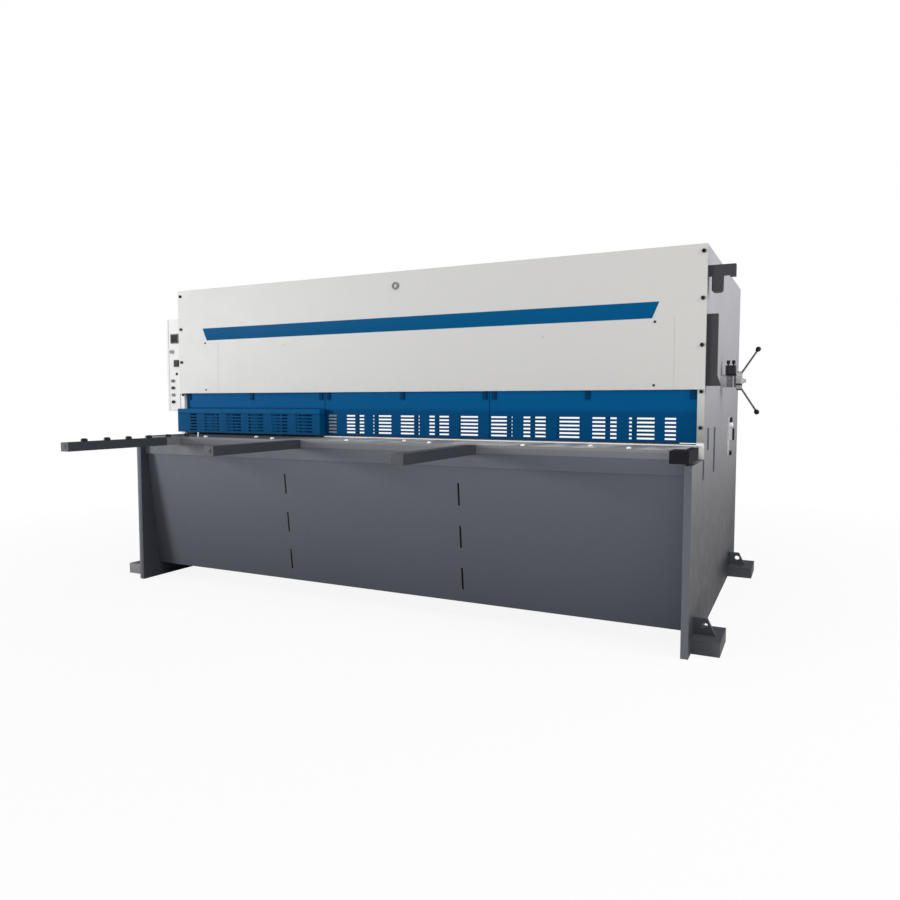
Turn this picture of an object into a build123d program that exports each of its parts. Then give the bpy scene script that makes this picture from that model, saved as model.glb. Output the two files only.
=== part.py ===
"""Hydraulic guillotine shear: side plates, table, slotted guard, arms and gap lever.

Millimetres. Z is up and the floor is Z = 0. X runs along the machine, to the right as the
operator sees it, and Y runs from the operator's side to the rear. The origin is the centre
of the four anchor bolt holes in the feet.
"""
from build123d import *
from math import cos, radians, sin
import os

os.makedirs("parts", exist_ok=True)

# Side plates
plate_span = 3250.0          # over the outer faces of the two side plates
plate_thickness = 32.0
plate_depth = 2067.0
plate_height = 1800.0
plate_rear_rise = 28.0       # how much higher each plate's top edge is at the rear
shoulder_drop = 62.0         # from the table down to the top of each plate's low front part
throat_height = 65.0         # slot between the shoulder and the upper front edge
throat_depth = 26.0          # how far the throat goes in behind the upper front edge
head_setback = 358.0         # from the low front edge to the upper front edge
relief_width = 12.0
relief_length = 94.0

# Feet and their anchor bolt holes
front_anchor_setback = 276.0
rear_anchor_inset = 353.0    # from the plate's rear edge
anchor_reach = 59.0          # from the plate's outer face
anchor_hole_radius = 13.0
foot_shift = 70.0            # from each anchor hole to the middle of its block
left_foot_reach = 190.0
right_foot_reach = 118.0
right_rear_foot_reach = 136.0
foot_length = 246.0
foot_height = 62.0
gusset_height = 72.0
gusset_thickness = 20.0
gusset_offset = 30.0         # from the middle of the block to the gusset's front
gusset_window_radius = 14.0
gusset_window_reach = 44.0
gusset_window_rise = 40.0
gusset_top_width = 54.0
gusset_foot_width = 90.0

# Table, its front beam and the sloping apron
table_height = 882.0
table_setback = 36.0
table_thickness = 40.0
table_length_y = 520.0
table_beam_height = 108.0
table_beam_thickness = 30.0
apron_thickness = 10.0
apron_bottom = 84.0
apron_top_setback = 52.0
apron_bottom_setback = 126.0
apron_slot_width = 10.0
apron_slot_length = 112.0
apron_slot_drop = 84.0       # from the apron's top edge to the first slots
apron_slot_margin = 45.0     # height of the apron that the slot rows leave over
apron_slot_rows = 3
apron_slot_left_x = -546.0
apron_slot_right_x = 520.0
ball_unit_radius = 12.0
ball_stand = 10.0             # height of each ball unit over the table
ball_pitch = 492.5
ball_first_x = -1111.0
ball_front_row = 14.0        # from the table's front edge
ball_rear_row = 109.0
ball_rear_shift = 296.0      # from the first unit of the front row to that of the rear row
joint_gap = 0.3              # clearance between seated pieces

# Front cover
cover_thickness = 6.0
boss_radius = 15.0
boss_length = 8.0
boss_drop = 78.0             # from the cover's top edge

# Guard panels
guard_setback = 381.0
guard_thickness = 4.0
guard_lift = 14.0            # gap between the table and the guard
guard_height = 248.0
guard_seam = 4.0
guard_seam_left_x = -499.0
guard_seam_right_x = 549.0
slot_height = 8.6
slot_row_pitch = 19.1
slot_rows = 6
slot_rise = 12.2             # from the guard's bottom edge to the lowest slots
slot_group_pitch = 180.0
slot_group_width = 120.0
slot_groups = 5              # full groups on each panel, beside the narrow one at its end
slot_group_end = 55.0        # from the last full group to the right end of the left two panels
slot_end_width = 62.0
slot_end_gap = 65.0          # from a narrow group to the full one beside it
slot_right_first = 7.4       # from the right panel's left end to its first group
slot_right_end_gap = 47.6
slot_right_end_width = 51.0
left_step_height = 149.0     # height of the forward lower part of the left panel
left_step = 51.0
guard_fold = 22.0            # depth of the folded edge at each seam, behind the guard's face
tab_width = 22.0
tab_height = 45.0
tab_thickness = 6.0
tab_inset = 24.0
rib_width = 22.0
rib_depth = 14.0
rib_pitch = 129.0
rib_left_inset = 30.0        # from the left panel's right end to its last rib
rib_inset = 54.0
rib_right_inset = 33.0
ribs_per_panel = 8
rib_height = 142.0
rail_angle_leg = 60.0
rail_angle_thickness = 6.0

# Blades, hold-downs and swing beam behind the guard
blade_height = 80.0
blade_thickness = 25.0
blade_gap = 0.8              # sideways clearance between the upper and lower blade
blade_opening = 150.0        # height of the upper blade over the table at rest
blade_seat_height = 62.0     # how far the upper blade reaches up the beam's front
swing_beam_front_height = 280.0
swing_beam_rear_height = 150.0
swing_beam_depth = 900.0
swing_beam_floor_depth = 290.0
end_clearance = 30.0         # between each end of the swing beam and its side plate
pivot_radius = 55.0
pivot_inset = 75.0
hold_down_radius = 30.0
hold_down_length = 46.0
hold_down_count = 8
hold_down_inset = 120.0
hold_down_setback = 45.0     # from the guard to the hold-down beam
hold_down_beam_depth = 76.0
hold_down_beam_height = 90.0
hold_down_beam_rise = 186.0  # from the table to the beam's underside
cylinder_radius = 75.0
cylinder_rod_radius = 38.0
cylinder_rod_length = 40.0
cylinder_inset = 210.0       # from the side plate to the cylinder's axis
cylinder_setback = 120.0     # from the swing beam's front to the cylinder's axis
tie_beam_depth = 420.0
tie_beam_height = 26.0
table_web_thickness = 40.0
table_web_bottom = 300.0

# Rear: tank, cross beam, sheet slide and back gauge
tank_height = 340.0
tank_rear_inset = 20.0
tank_clearance = 40.0        # from the swing beam's rear end to the tank
cross_beam_size = 160.0
cross_beam_bottom = 190.0
cross_beam_inset = 40.0
slide_thickness = 4.0
slide_drop = 182.0           # from the table to the slide's front edge
gauge_rail_width = 60.0
gauge_rail_height = 60.0
gauge_rail_length = 860.0
gauge_rail_x = 1050.0
gauge_rail_drop = 87.0       # from the table to the rails' top
gauge_beam_height = 68.0
gauge_beam_thickness = 30.0
gauge_beam_length = 2800.0
gauge_beam_setback = 1120.0
cover_sheet_thickness = 3.0

# Arms in front of the table
arm_height = 46.0
arm_width = 56.0
arm_wall = 6.0
squaring_arm_x = -1325.0
squaring_arm_reach = 700.0   # in front of the side plates
left_arm_x = -443.0
left_arm_reach = 610.0
right_arm_x = 598.0
right_arm_reach = 662.0
arm_stop_radius = 17.0
arm_stop_height = 16.0
arm_stop_pitch = 138.5
arm_stop_count = 6
arm_stop_first = 113.0
short_arm_width = 78.0
short_arm_height = 54.0
short_arm_reach = 93.0
short_arm_length = 283.0
short_arm_rise = 14.0        # underside of the short arm over the plate's shoulder

# Outside of the plates
hook_width = 118.0
hook_bar_height = 46.0
hook_lip_width = 24.0
hook_lip_drop = 8.0
hook_leg_reach = 17.0
hook_leg_width = 48.0
hook_leg_drop = 76.0
hook_thickness = 40.0
hook_setback = 372.0
hook_drop = 96.0             # from the plate's top edge
housing_width = 48.0
housing_depth = 34.0
housing_height = 326.0
housing_drop = 314.0         # from the plate's top edge
housing_foot_reach = 18.0
housing_foot_height = 46.0
housing_setback = 368.0
cabinet_width = 128.0
cabinet_depth = 330.0
cabinet_height = 596.0
cabinet_drop = 175.0         # from the plate's top edge
cabinet_setback = 372.0
cabinet_panel_width = 95.0
cabinet_panel_thickness = 14.0
cabinet_panel_inset = 4.0
screen_width = 70.0
screen_height = 62.0
screen_thickness = 5.0
screen_drop = 96.0
screen_reach = 42.0          # from the side plate to the middle of the screen
button_radius = 10.0
button_length = 10.0
button_pitch = 45.6
button_count = 4
button_first_drop = 400.0
button_reach = 62.0
knob_switch_radius = 13.0
knob_switch_drop = 211.0
knob_switch_reach = 68.0
square_switch_width = 38.0
square_switch_height = 44.0
square_switch_drop = 287.0
square_switch_reach = 26.0

# Lever that sets the gap between the blades
lever_setback = 1021.0
lever_rise = 317.0           # from the table to the lever's axis
lever_sleeve_radius = 34.0
lever_sleeve_length = 78.0
lever_shaft_radius = 14.0
lever_shaft_clearance = 0.1
lever_end_gap = 1.0          # between the hub and the sleeve, and between the shaft and the plate
lever_hub_radius = 50.0
lever_hub_length = 24.0
lever_nose_length = 21.0
lever_nose_radius = 16.0
lever_tip_radius = 8.0
lever_arm_radius = 5.0
lever_arm_length = 130.0
lever_arm_rake = 32.6        # degrees that each arm leans away from the plate
lever_arm_start = 43.0       # from the hub's axis to the foot of each arm
lever_arm_count = 2
knob_radius = 14.0
knob_chamfer = 5.0
block_reach = 23.0           # from the side plate
block_width = 50.0
block_height = 66.0
block_depth = 56.0
latch_rear_inset = 622.0
latch_bottom = 770.0
latch_width = 34.0
latch_height = 230.0
latch_thickness = 8.0
latch_knob_radius = 14.0
latch_knob_length = 16.0
latch_handle_width = 16.0
latch_handle_height = 69.0
latch_handle_rise = 94.0     # from the latch's bottom edge
latch_handle_length = 28.0
scale_width = 20.0
scale_height = 225.0
scale_thickness = 6.0
scale_bottom = 735.0
scale_setback = 755.0
short_scale_width = 16.0
short_scale_height = 106.0
short_scale_bottom = 858.0
short_scale_setback = 495.0

# Places worked out from the sizes above
anchor_spacing_y = plate_depth - front_anchor_setback - rear_anchor_inset
front = -(front_anchor_setback + anchor_spacing_y / 2)
rear = front + plate_depth
head_front = front + head_setback
outer_x = plate_span / 2
inner_x = outer_x - plate_thickness
inner_span = 2 * inner_x
table_front = front + table_setback
table_rear = table_front + table_length_y
shoulder_height = table_height - shoulder_drop
head_bottom = shoulder_height + throat_height
fit_span = inner_span - 2 * joint_gap
guard_y = front + guard_setback
guard_bottom = table_height + guard_lift
guard_top = guard_bottom + guard_height

# Side plates with the throat and the relief slot under it
for side, name in ((-1, "left"), (1, "right")):
    with BuildPart() as side_plate:
        with BuildSketch(Plane.YZ.offset(min(side * inner_x, side * outer_x))) as plate_outline:
            with BuildLine() as plate_edge:
                Polyline(
                    (front, 0), (front, shoulder_height),
                    (head_front + throat_depth, shoulder_height),
                    (head_front + throat_depth, head_bottom),
                    (head_front, head_bottom), (head_front, plate_height),
                    (rear, plate_height + plate_rear_rise), (rear, 0), close=True)
            make_face()
            with Locations((head_front, shoulder_height - relief_length / 2)):
                Rectangle(relief_width, relief_length, mode=Mode.SUBTRACT)
        extrude(amount=plate_thickness)
    side_plate.part.label = "side_plate_" + name
    export_step(side_plate.part, "parts/side_plate_" + name + ".step")

# Feet: a block with an anchor hole, on the right side with a gusset that has a round window
for end, end_name in ((-1, "front"), (1, "rear")):
    anchor_y = end * anchor_spacing_y / 2
    foot_y = anchor_y + end * foot_shift
    right_reach = right_foot_reach if end < 0 else right_rear_foot_reach
    for side, name, reach in ((-1, "left", left_foot_reach), (1, "right", right_reach)):
        foot_x = side * (outer_x + joint_gap)
        with BuildPart() as foot:
            with BuildSketch() as foot_plan:
                with Locations((foot_x + side * reach / 2, foot_y)):
                    Rectangle(reach, foot_length)
            extrude(amount=foot_height)
            with BuildSketch() as anchor_plan:
                with Locations((foot_x + side * anchor_reach, anchor_y)):
                    Circle(anchor_hole_radius)
            extrude(amount=foot_height, mode=Mode.SUBTRACT)
            if side > 0:
                with BuildSketch(Plane.XZ.offset(gusset_offset - foot_y)) as gusset_outline:
                    with BuildLine() as gusset_edge:
                        Polyline(
                            (foot_x, foot_height), (foot_x + gusset_foot_width, foot_height),
                            (foot_x + gusset_top_width, foot_height + gusset_height),
                            (foot_x, foot_height + gusset_height), close=True)
                    make_face()
                    with Locations((foot_x + gusset_window_reach, foot_height + gusset_window_rise)):
                        Circle(gusset_window_radius, mode=Mode.SUBTRACT)
                extrude(amount=-gusset_thickness)
        foot.part.label = "foot_" + end_name + "_" + name
        export_step(foot.part, "parts/foot_" + end_name + "_" + name + ".step")

# Table top between the plates, with the ball units on it
ball_places = []
for index in range(6):
    ball_places.append((ball_first_x + index * ball_pitch, table_front + ball_front_row))
for index in range(3):
    ball_x = ball_first_x + ball_rear_shift + 2 * index * ball_pitch
    ball_places.append((ball_x, table_front + ball_rear_row))

with BuildPart() as table_top:
    with BuildSketch(Plane.XY.offset(table_height - table_thickness)) as table_plan:
        with Locations((0, (table_front + table_rear) / 2)):
            Rectangle(fit_span, table_length_y)
    extrude(amount=table_thickness)
table_top.part.label = "table_top"
export_step(table_top.part, "parts/table_top.step")

with BuildPart() as table_balls:
    with BuildSketch(Plane.XY.offset(table_height + joint_gap)) as unit_plan:
        with Locations(ball_places):
            Circle(ball_unit_radius)
    extrude(amount=ball_stand)
table_balls.part.label = "table_balls"
export_step(table_balls.part, "parts/table_balls.step")

# Front beam under the table's front edge
with BuildPart() as table_beam:
    with BuildSketch(Plane.YZ.offset(-fit_span / 2)) as beam_outline:
        with Locations((table_front, table_height - table_thickness - joint_gap)):
            Rectangle(
                table_beam_thickness, table_beam_height - table_thickness, align=(Align.MIN, Align.MAX))
    extrude(amount=fit_span)
table_beam.part.label = "table_beam"
export_step(table_beam.part, "parts/table_beam.step")

# Sloping apron with two columns of vertical slots
apron_top = table_height - table_beam_height - joint_gap
apron_slot_pitch = (apron_top - apron_bottom - apron_slot_margin) / apron_slot_rows
with BuildPart() as front_apron:
    with BuildSketch(Plane.YZ.offset(-fit_span / 2)) as apron_outline:
        with BuildLine() as apron_edge:
            Polyline(
                (front + apron_top_setback, apron_top),
                (front + apron_top_setback + apron_thickness, apron_top),
                (front + apron_bottom_setback + apron_thickness, apron_bottom),
                (front + apron_bottom_setback, apron_bottom), close=True)
        make_face()
    extrude(amount=fit_span)
    with BuildSketch(Plane.XZ.offset(-front)) as apron_slots:
        for x in (apron_slot_left_x, apron_slot_right_x):
            for row in range(apron_slot_rows):
                slot_z = apron_top - apron_slot_drop - row * apron_slot_pitch - apron_slot_length / 2
                with Locations((x, slot_z)):
                    Rectangle(apron_slot_width, apron_slot_length)
    extrude(amount=-head_setback, mode=Mode.SUBTRACT)
front_apron.part.label = "front_apron"
export_step(front_apron.part, "parts/front_apron.step")

# Front cover over the plates' upper front edges
with BuildPart() as front_cover:
    with BuildSketch(Plane.XZ.offset(-head_front + joint_gap)) as cover_outline:
        with Locations((0, (guard_top + plate_height) / 2)):
            Rectangle(plate_span, plate_height - guard_top)
    extrude(amount=cover_thickness)
front_cover.part.label = "front_cover"
export_step(front_cover.part, "parts/front_cover.step")
cover_face = head_front - joint_gap - cover_thickness

with BuildPart() as cover_boss:
    with BuildSketch(Plane.XZ.offset(-cover_face + joint_gap)) as boss_outline:
        with Locations((0, plate_height - boss_drop)):
            Circle(boss_radius)
    extrude(amount=boss_length)
cover_boss.part.label = "cover_boss"
export_step(cover_boss.part, "parts/cover_boss.step")

# Top cover between the plates
with BuildPart() as top_cover:
    with BuildSketch(Plane.XY.offset(plate_height - cover_sheet_thickness)) as top_plan:
        with Locations((0, (head_front + rear) / 2)):
            Rectangle(fit_span, rear - head_front)
    extrude(amount=cover_sheet_thickness)
top_cover.part.label = "top_cover"
export_step(top_cover.part, "parts/top_cover.step")

# Guard panels: three sheets with groups of slots, the left one stepped forward low down. Both
# seams have a folded edge, which also closes the step's right end.
guard_ends = (
    (-fit_span / 2, guard_seam_left_x - guard_seam / 2),
    (guard_seam_left_x + guard_seam / 2, guard_seam_right_x - guard_seam / 2),
    (guard_seam_right_x + guard_seam / 2, fit_span / 2))
step_front = guard_y - left_step
step_top = guard_bottom + left_step_height
fold_top = guard_top - rail_angle_leg - joint_gap


def group_spans(panel, panel_left, panel_right):
    """Return the left end and the width of each group of slots on a panel."""
    if panel == 2:
        first = panel_left + slot_right_first
        last = first + (slot_groups - 1) * slot_group_pitch + slot_group_width
        narrow = (last + slot_right_end_gap, slot_right_end_width)
    else:
        first = panel_right - slot_group_end - slot_group_width - (slot_groups - 1) * slot_group_pitch
        narrow = (first - slot_end_gap - slot_end_width, slot_end_width)
    return [(first + index * slot_group_pitch, slot_group_width) for index in range(slot_groups)] + [narrow]


for panel, name in enumerate(("left", "middle", "right")):
    panel_left, panel_right = guard_ends[panel]
    panel_front = step_front if panel == 0 else guard_y
    with BuildPart() as guard_panel:
        with BuildSketch(Plane.YZ.offset(panel_left)) as guard_outline:
            if panel == 0:
                with BuildLine() as guard_edge:
                    Polyline(
                        (step_front, guard_bottom), (step_front, step_top),
                        (guard_y, step_top), (guard_y, guard_top),
                        (guard_y + guard_thickness, guard_top),
                        (guard_y + guard_thickness, step_top - guard_thickness),
                        (step_front + guard_thickness, step_top - guard_thickness),
                        (step_front + guard_thickness, guard_bottom), close=True)
                make_face()
            else:
                with Locations((guard_y, guard_bottom)):
                    Rectangle(guard_thickness, guard_height, align=(Align.MIN, Align.MIN))
        extrude(amount=panel_right - panel_left)
        if panel == 0:
            with BuildSketch(Plane.XZ.offset(-step_front)) as guard_wing:
                with Locations((-outer_x, guard_bottom)):
                    Rectangle(outer_x + panel_left, left_step_height, align=(Align.MIN, Align.MIN))
            extrude(amount=-guard_thickness)
        if panel < 2:
            with BuildSketch(Plane.YZ.offset(panel_right - guard_thickness)) as guard_fold_outline:
                with Locations((guard_y, guard_bottom)):
                    Rectangle(guard_fold, fold_top - guard_bottom, align=(Align.MIN, Align.MIN))
                    if panel == 0:
                        Rectangle(left_step, left_step_height, align=(Align.MAX, Align.MIN))
            extrude(amount=guard_thickness)
        with BuildSketch(Plane.XZ.offset(-panel_front)) as guard_slots:
            for start, width in group_spans(panel, panel_left, panel_right):
                for row in range(slot_rows):
                    with Locations((start, guard_bottom + slot_rise + row * slot_row_pitch)):
                        Rectangle(width, slot_height, align=(Align.MIN, Align.MIN))
        extrude(amount=-guard_thickness, mode=Mode.SUBTRACT)
    guard_panel.part.label = "guard_panel_" + name
    export_step(guard_panel.part, "parts/guard_panel_" + name + ".step")

# Hanging tabs on the guard, three on each panel
with BuildPart() as guard_tabs:
    with BuildSketch(Plane.XZ.offset(-guard_y + joint_gap)) as tab_outline:
        for panel_left, panel_right in guard_ends:
            for x in (panel_left + tab_inset, (panel_left + panel_right) / 2, panel_right - tab_inset):
                with Locations((x, guard_top)):
                    Rectangle(tab_width, tab_height, align=(Align.CENTER, Align.MAX))
    extrude(amount=tab_thickness)
guard_tabs.part.label = "guard_tabs"
export_step(guard_tabs.part, "parts/guard_tabs.step")

# Upright ribs behind the slots of each panel
with BuildPart() as guard_ribs:
    for panel, rib_room in enumerate((rib_left_inset, rib_inset, rib_right_inset)):
        panel_front = step_front if panel == 0 else guard_y
        with BuildSketch(Plane.XY.offset(guard_bottom)) as rib_plan:
            for index in range(ribs_per_panel):
                rib_x = guard_ends[panel][1] - rib_room - index * rib_pitch
                with Locations((rib_x, panel_front + guard_thickness + joint_gap)):
                    Rectangle(rib_width, rib_depth, align=(Align.CENTER, Align.MIN))
        extrude(amount=rib_height)
guard_ribs.part.label = "guard_ribs"
export_step(guard_ribs.part, "parts/guard_ribs.step")

# Angle behind the top of the guard that the panels hang on
rail_back = guard_y + guard_thickness + joint_gap
with BuildPart() as guard_rail:
    with BuildSketch(Plane.YZ.offset(-fit_span / 2)) as rail_outline:
        with BuildLine() as rail_edge:
            Polyline(
                (head_front + joint_gap, guard_top + joint_gap),
                (rail_back, guard_top + joint_gap),
                (rail_back, guard_top - rail_angle_leg),
                (rail_back + rail_angle_thickness, guard_top - rail_angle_leg),
                (rail_back + rail_angle_thickness, guard_top + joint_gap + rail_angle_thickness),
                (head_front + joint_gap, guard_top + joint_gap + rail_angle_thickness), close=True)
        make_face()
    extrude(amount=fit_span)
guard_rail.part.label = "guard_rail"
export_step(guard_rail.part, "parts/guard_rail.step")

# Hold-down beam and its plungers
hold_down_front = guard_y + hold_down_setback
hold_down_beam_bottom = table_height + hold_down_beam_rise
with BuildPart() as hold_down_beam:
    with BuildSketch(Plane.XY.offset(hold_down_beam_bottom)) as hold_down_plan:
        with Locations((0, hold_down_front + hold_down_beam_depth / 2)):
            Rectangle(fit_span, hold_down_beam_depth)
    extrude(amount=hold_down_beam_height)
hold_down_beam.part.label = "hold_down_beam"
export_step(hold_down_beam.part, "parts/hold_down_beam.step")

hold_down_pitch = (inner_span - 2 * hold_down_inset) / (hold_down_count - 1)
hold_down_base = hold_down_beam_bottom - joint_gap
with BuildPart() as hold_downs:
    for index in range(hold_down_count):
        hold_down_x = -inner_x + hold_down_inset + index * hold_down_pitch
        with BuildSketch(Plane.XY.offset(hold_down_base)) as plunger_plan:
            with Locations((hold_down_x, hold_down_front + hold_down_beam_depth / 2)):
                Circle(hold_down_radius)
        extrude(amount=-hold_down_length)
hold_downs.part.label = "hold_downs"
export_step(hold_downs.part, "parts/hold_downs.step")

# Web under the table's rear edge, with the lower blade bolted over it
with BuildPart() as table_web:
    with BuildSketch(Plane.YZ.offset(-fit_span / 2)) as web_outline:
        with Locations((table_rear, table_web_bottom)):
            Rectangle(
                table_web_thickness, table_height - table_thickness - joint_gap - table_web_bottom,
                align=(Align.MAX, Align.MIN))
    extrude(amount=fit_span)
table_web.part.label = "table_web"
export_step(table_web.part, "parts/table_web.step")

lower_blade_front = table_rear + joint_gap
with BuildPart() as lower_blade:
    with BuildSketch(Plane.YZ.offset(-fit_span / 2)) as lower_outline:
        with Locations((lower_blade_front, table_height)):
            Rectangle(blade_thickness, blade_height, align=(Align.MIN, Align.MAX))
    extrude(amount=fit_span)
lower_blade.part.label = "lower_blade"
export_step(lower_blade.part, "parts/lower_blade.step")

# Upper blade on the front of the swing beam
beam_span = inner_span - 2 * end_clearance
upper_blade_front = lower_blade_front + blade_thickness + blade_gap
upper_blade_bottom = table_height + blade_opening
with BuildPart() as upper_blade:
    with BuildSketch(Plane.YZ.offset(-beam_span / 2)) as upper_outline:
        with Locations((upper_blade_front, upper_blade_bottom)):
            Rectangle(blade_thickness, blade_height, align=(Align.MIN, Align.MIN))
    extrude(amount=beam_span)
upper_blade.part.label = "upper_blade"
export_step(upper_blade.part, "parts/upper_blade.step")

# Swing beam: a closed welded box that tapers to its rear pivots
beam_front = upper_blade_front + blade_thickness + joint_gap
beam_bottom = upper_blade_bottom + blade_height - blade_seat_height
beam_top = beam_bottom + swing_beam_front_height
beam_rear = beam_front + swing_beam_depth
with BuildPart() as swing_beam:
    with BuildSketch(Plane.YZ.offset(-beam_span / 2)) as swing_outline:
        with BuildLine() as swing_edge:
            Polyline(
                (beam_front, beam_bottom), (beam_front, beam_top), (beam_rear, beam_top),
                (beam_rear, beam_top - swing_beam_rear_height),
                (beam_front + swing_beam_floor_depth, beam_bottom), close=True)
        make_face()
    extrude(amount=beam_span)
swing_beam.part.label = "swing_beam"
export_step(swing_beam.part, "parts/swing_beam.step")

# Pivot bosses between the beam's ends and the plates
with BuildPart() as beam_pivots:
    for pivot_x in (-inner_x + joint_gap, beam_span / 2 + joint_gap):
        with BuildSketch(Plane.YZ.offset(pivot_x)) as pivot_outline:
            with Locations((beam_rear - pivot_inset, beam_top - swing_beam_rear_height / 2)):
                Circle(pivot_radius)
        extrude(amount=end_clearance - 2 * joint_gap)
beam_pivots.part.label = "beam_pivots"
export_step(beam_pivots.part, "parts/beam_pivots.step")

# Cylinders that push the beam down, under the tie beam of the head
cylinder_y = beam_front + cylinder_setback
rod_bottom = beam_top + joint_gap
cylinder_bottom = rod_bottom + cylinder_rod_length
tie_top = plate_height - cover_sheet_thickness - joint_gap
tie_bottom = tie_top - tie_beam_height
with BuildPart() as main_cylinders:
    for side in (-1, 1):
        cylinder_x = side * (inner_x - cylinder_inset)
        with BuildSketch(Plane.XY.offset(rod_bottom)) as rod_plan:
            with Locations((cylinder_x, cylinder_y)):
                Circle(cylinder_rod_radius)
        extrude(amount=cylinder_rod_length)
        with BuildSketch(Plane.XY.offset(cylinder_bottom)) as cylinder_plan:
            with Locations((cylinder_x, cylinder_y)):
                Circle(cylinder_radius)
        extrude(amount=tie_bottom - joint_gap - cylinder_bottom)
main_cylinders.part.label = "main_cylinders"
export_step(main_cylinders.part, "parts/main_cylinders.step")

with BuildPart() as head_tie_beam:
    with BuildSketch(Plane.XY.offset(tie_bottom)) as tie_plan:
        with Locations((0, cylinder_y)):
            Rectangle(fit_span, tie_beam_depth)
    extrude(amount=tie_beam_height)
head_tie_beam.part.label = "head_tie_beam"
export_step(head_tie_beam.part, "parts/head_tie_beam.step")

# Oil tank across the top of the rear
tank_front = beam_rear + tank_clearance
tank_rear = rear - tank_rear_inset
with BuildPart() as oil_tank:
    with BuildSketch(Plane.XY.offset(tie_top)) as tank_plan:
        with Locations((0, (tank_front + tank_rear) / 2)):
            Rectangle(fit_span, tank_rear - tank_front)
    extrude(amount=-tank_height)
oil_tank.part.label = "oil_tank"
export_step(oil_tank.part, "parts/oil_tank.step")

# Square cross beam low down at the rear
cross_beam_front = rear - cross_beam_inset - cross_beam_size
cross_beam_top = cross_beam_bottom + cross_beam_size
with BuildPart() as rear_cross_beam:
    with BuildSketch(Plane.YZ.offset(-fit_span / 2)) as cross_outline:
        with Locations((cross_beam_front, cross_beam_bottom)):
            Rectangle(cross_beam_size, cross_beam_size, align=(Align.MIN, Align.MIN))
    extrude(amount=fit_span)
rear_cross_beam.part.label = "rear_cross_beam"
export_step(rear_cross_beam.part, "parts/rear_cross_beam.step")

# Slide for cut pieces, from the web down to the cross beam
slide_front = table_rear + joint_gap
slide_low = cross_beam_top + joint_gap
slide_top = table_height - slide_drop
with BuildPart() as sheet_slide:
    with BuildSketch(Plane.YZ.offset(-beam_span / 2)) as slide_outline:
        with BuildLine() as slide_edge:
            Polyline(
                (slide_front, slide_top), (slide_front, slide_top + slide_thickness),
                (cross_beam_front, slide_low + slide_thickness),
                (rear, slide_low + slide_thickness), (rear, slide_low),
                (cross_beam_front, slide_low), close=True)
        make_face()
    extrude(amount=beam_span)
sheet_slide.part.label = "sheet_slide"
export_step(sheet_slide.part, "parts/sheet_slide.step")

# Back gauge: two rails on the web and the beam that the sheet stops against
gauge_rail_top = table_height - gauge_rail_drop
with BuildPart() as gauge_rails:
    with BuildSketch(Plane.XY.offset(gauge_rail_top)) as gauge_rail_plan:
        for side in (-1, 1):
            with Locations((side * gauge_rail_x, table_rear + joint_gap)):
                Rectangle(gauge_rail_width, gauge_rail_length, align=(Align.CENTER, Align.MIN))
    extrude(amount=-gauge_rail_height)
gauge_rails.part.label = "gauge_rails"
export_step(gauge_rails.part, "parts/gauge_rails.step")

with BuildPart() as gauge_beam:
    with BuildSketch(Plane.XY.offset(gauge_rail_top + joint_gap)) as gauge_beam_plan:
        with Locations((0, front + gauge_beam_setback)):
            Rectangle(gauge_beam_length, gauge_beam_thickness)
    extrude(amount=gauge_beam_height)
gauge_beam.part.label = "gauge_beam"
export_step(gauge_beam.part, "parts/gauge_beam.step")

# Arms in front of the table: tubes closed at their front ends, flush with the table
arm_back = table_front - joint_gap
for arm_name, arm_x, arm_reach in (
        ("squaring_arm", squaring_arm_x, squaring_arm_reach),
        ("support_arm_left", left_arm_x, left_arm_reach),
        ("support_arm_right", right_arm_x, right_arm_reach)):
    arm_length = arm_back - (front - arm_reach)
    with BuildPart() as arm:
        with BuildSketch(Plane.XZ.offset(-arm_back)) as arm_outline:
            with Locations((arm_x, table_height - arm_height / 2)):
                Rectangle(arm_width, arm_height)
        extrude(amount=arm_length)
        with BuildSketch(Plane.XZ.offset(-arm_back)) as arm_hollow:
            with Locations((arm_x, table_height - arm_height / 2)):
                Rectangle(arm_width - 2 * arm_wall, arm_height - 2 * arm_wall)
        extrude(amount=arm_length - arm_wall, mode=Mode.SUBTRACT)
    arm.part.label = arm_name
    export_step(arm.part, "parts/" + arm_name + ".step")

with BuildPart() as arm_stops:
    with BuildSketch(Plane.XY.offset(table_height + joint_gap)) as stop_plan:
        for index in range(arm_stop_count):
            stop_y = front - squaring_arm_reach + arm_stop_first + index * arm_stop_pitch
            with Locations((squaring_arm_x, stop_y)):
                Circle(arm_stop_radius)
    extrude(amount=arm_stop_height)
arm_stops.part.label = "arm_stops"
export_step(arm_stops.part, "parts/arm_stops.step")

# Short arm at the right end, beside the table and over the plate's shoulder
short_arm_right_x = outer_x + joint_gap
short_arm_front = front - short_arm_reach
short_arm_back = short_arm_front + short_arm_length
with BuildPart() as short_arm:
    with BuildSketch(Plane.XY.offset(shoulder_height + short_arm_rise)) as short_arm_plan:
        with BuildLine() as short_arm_edge:
            Polyline(
                (short_arm_right_x - short_arm_width, short_arm_front),
                (short_arm_right_x, short_arm_front), (short_arm_right_x, short_arm_back),
                (inner_x + joint_gap, short_arm_back), (inner_x + joint_gap, arm_back),
                (short_arm_right_x - short_arm_width, arm_back), close=True)
        make_face()
    extrude(amount=short_arm_height)
short_arm.part.label = "short_arm"
export_step(short_arm.part, "parts/short_arm.step")

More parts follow.
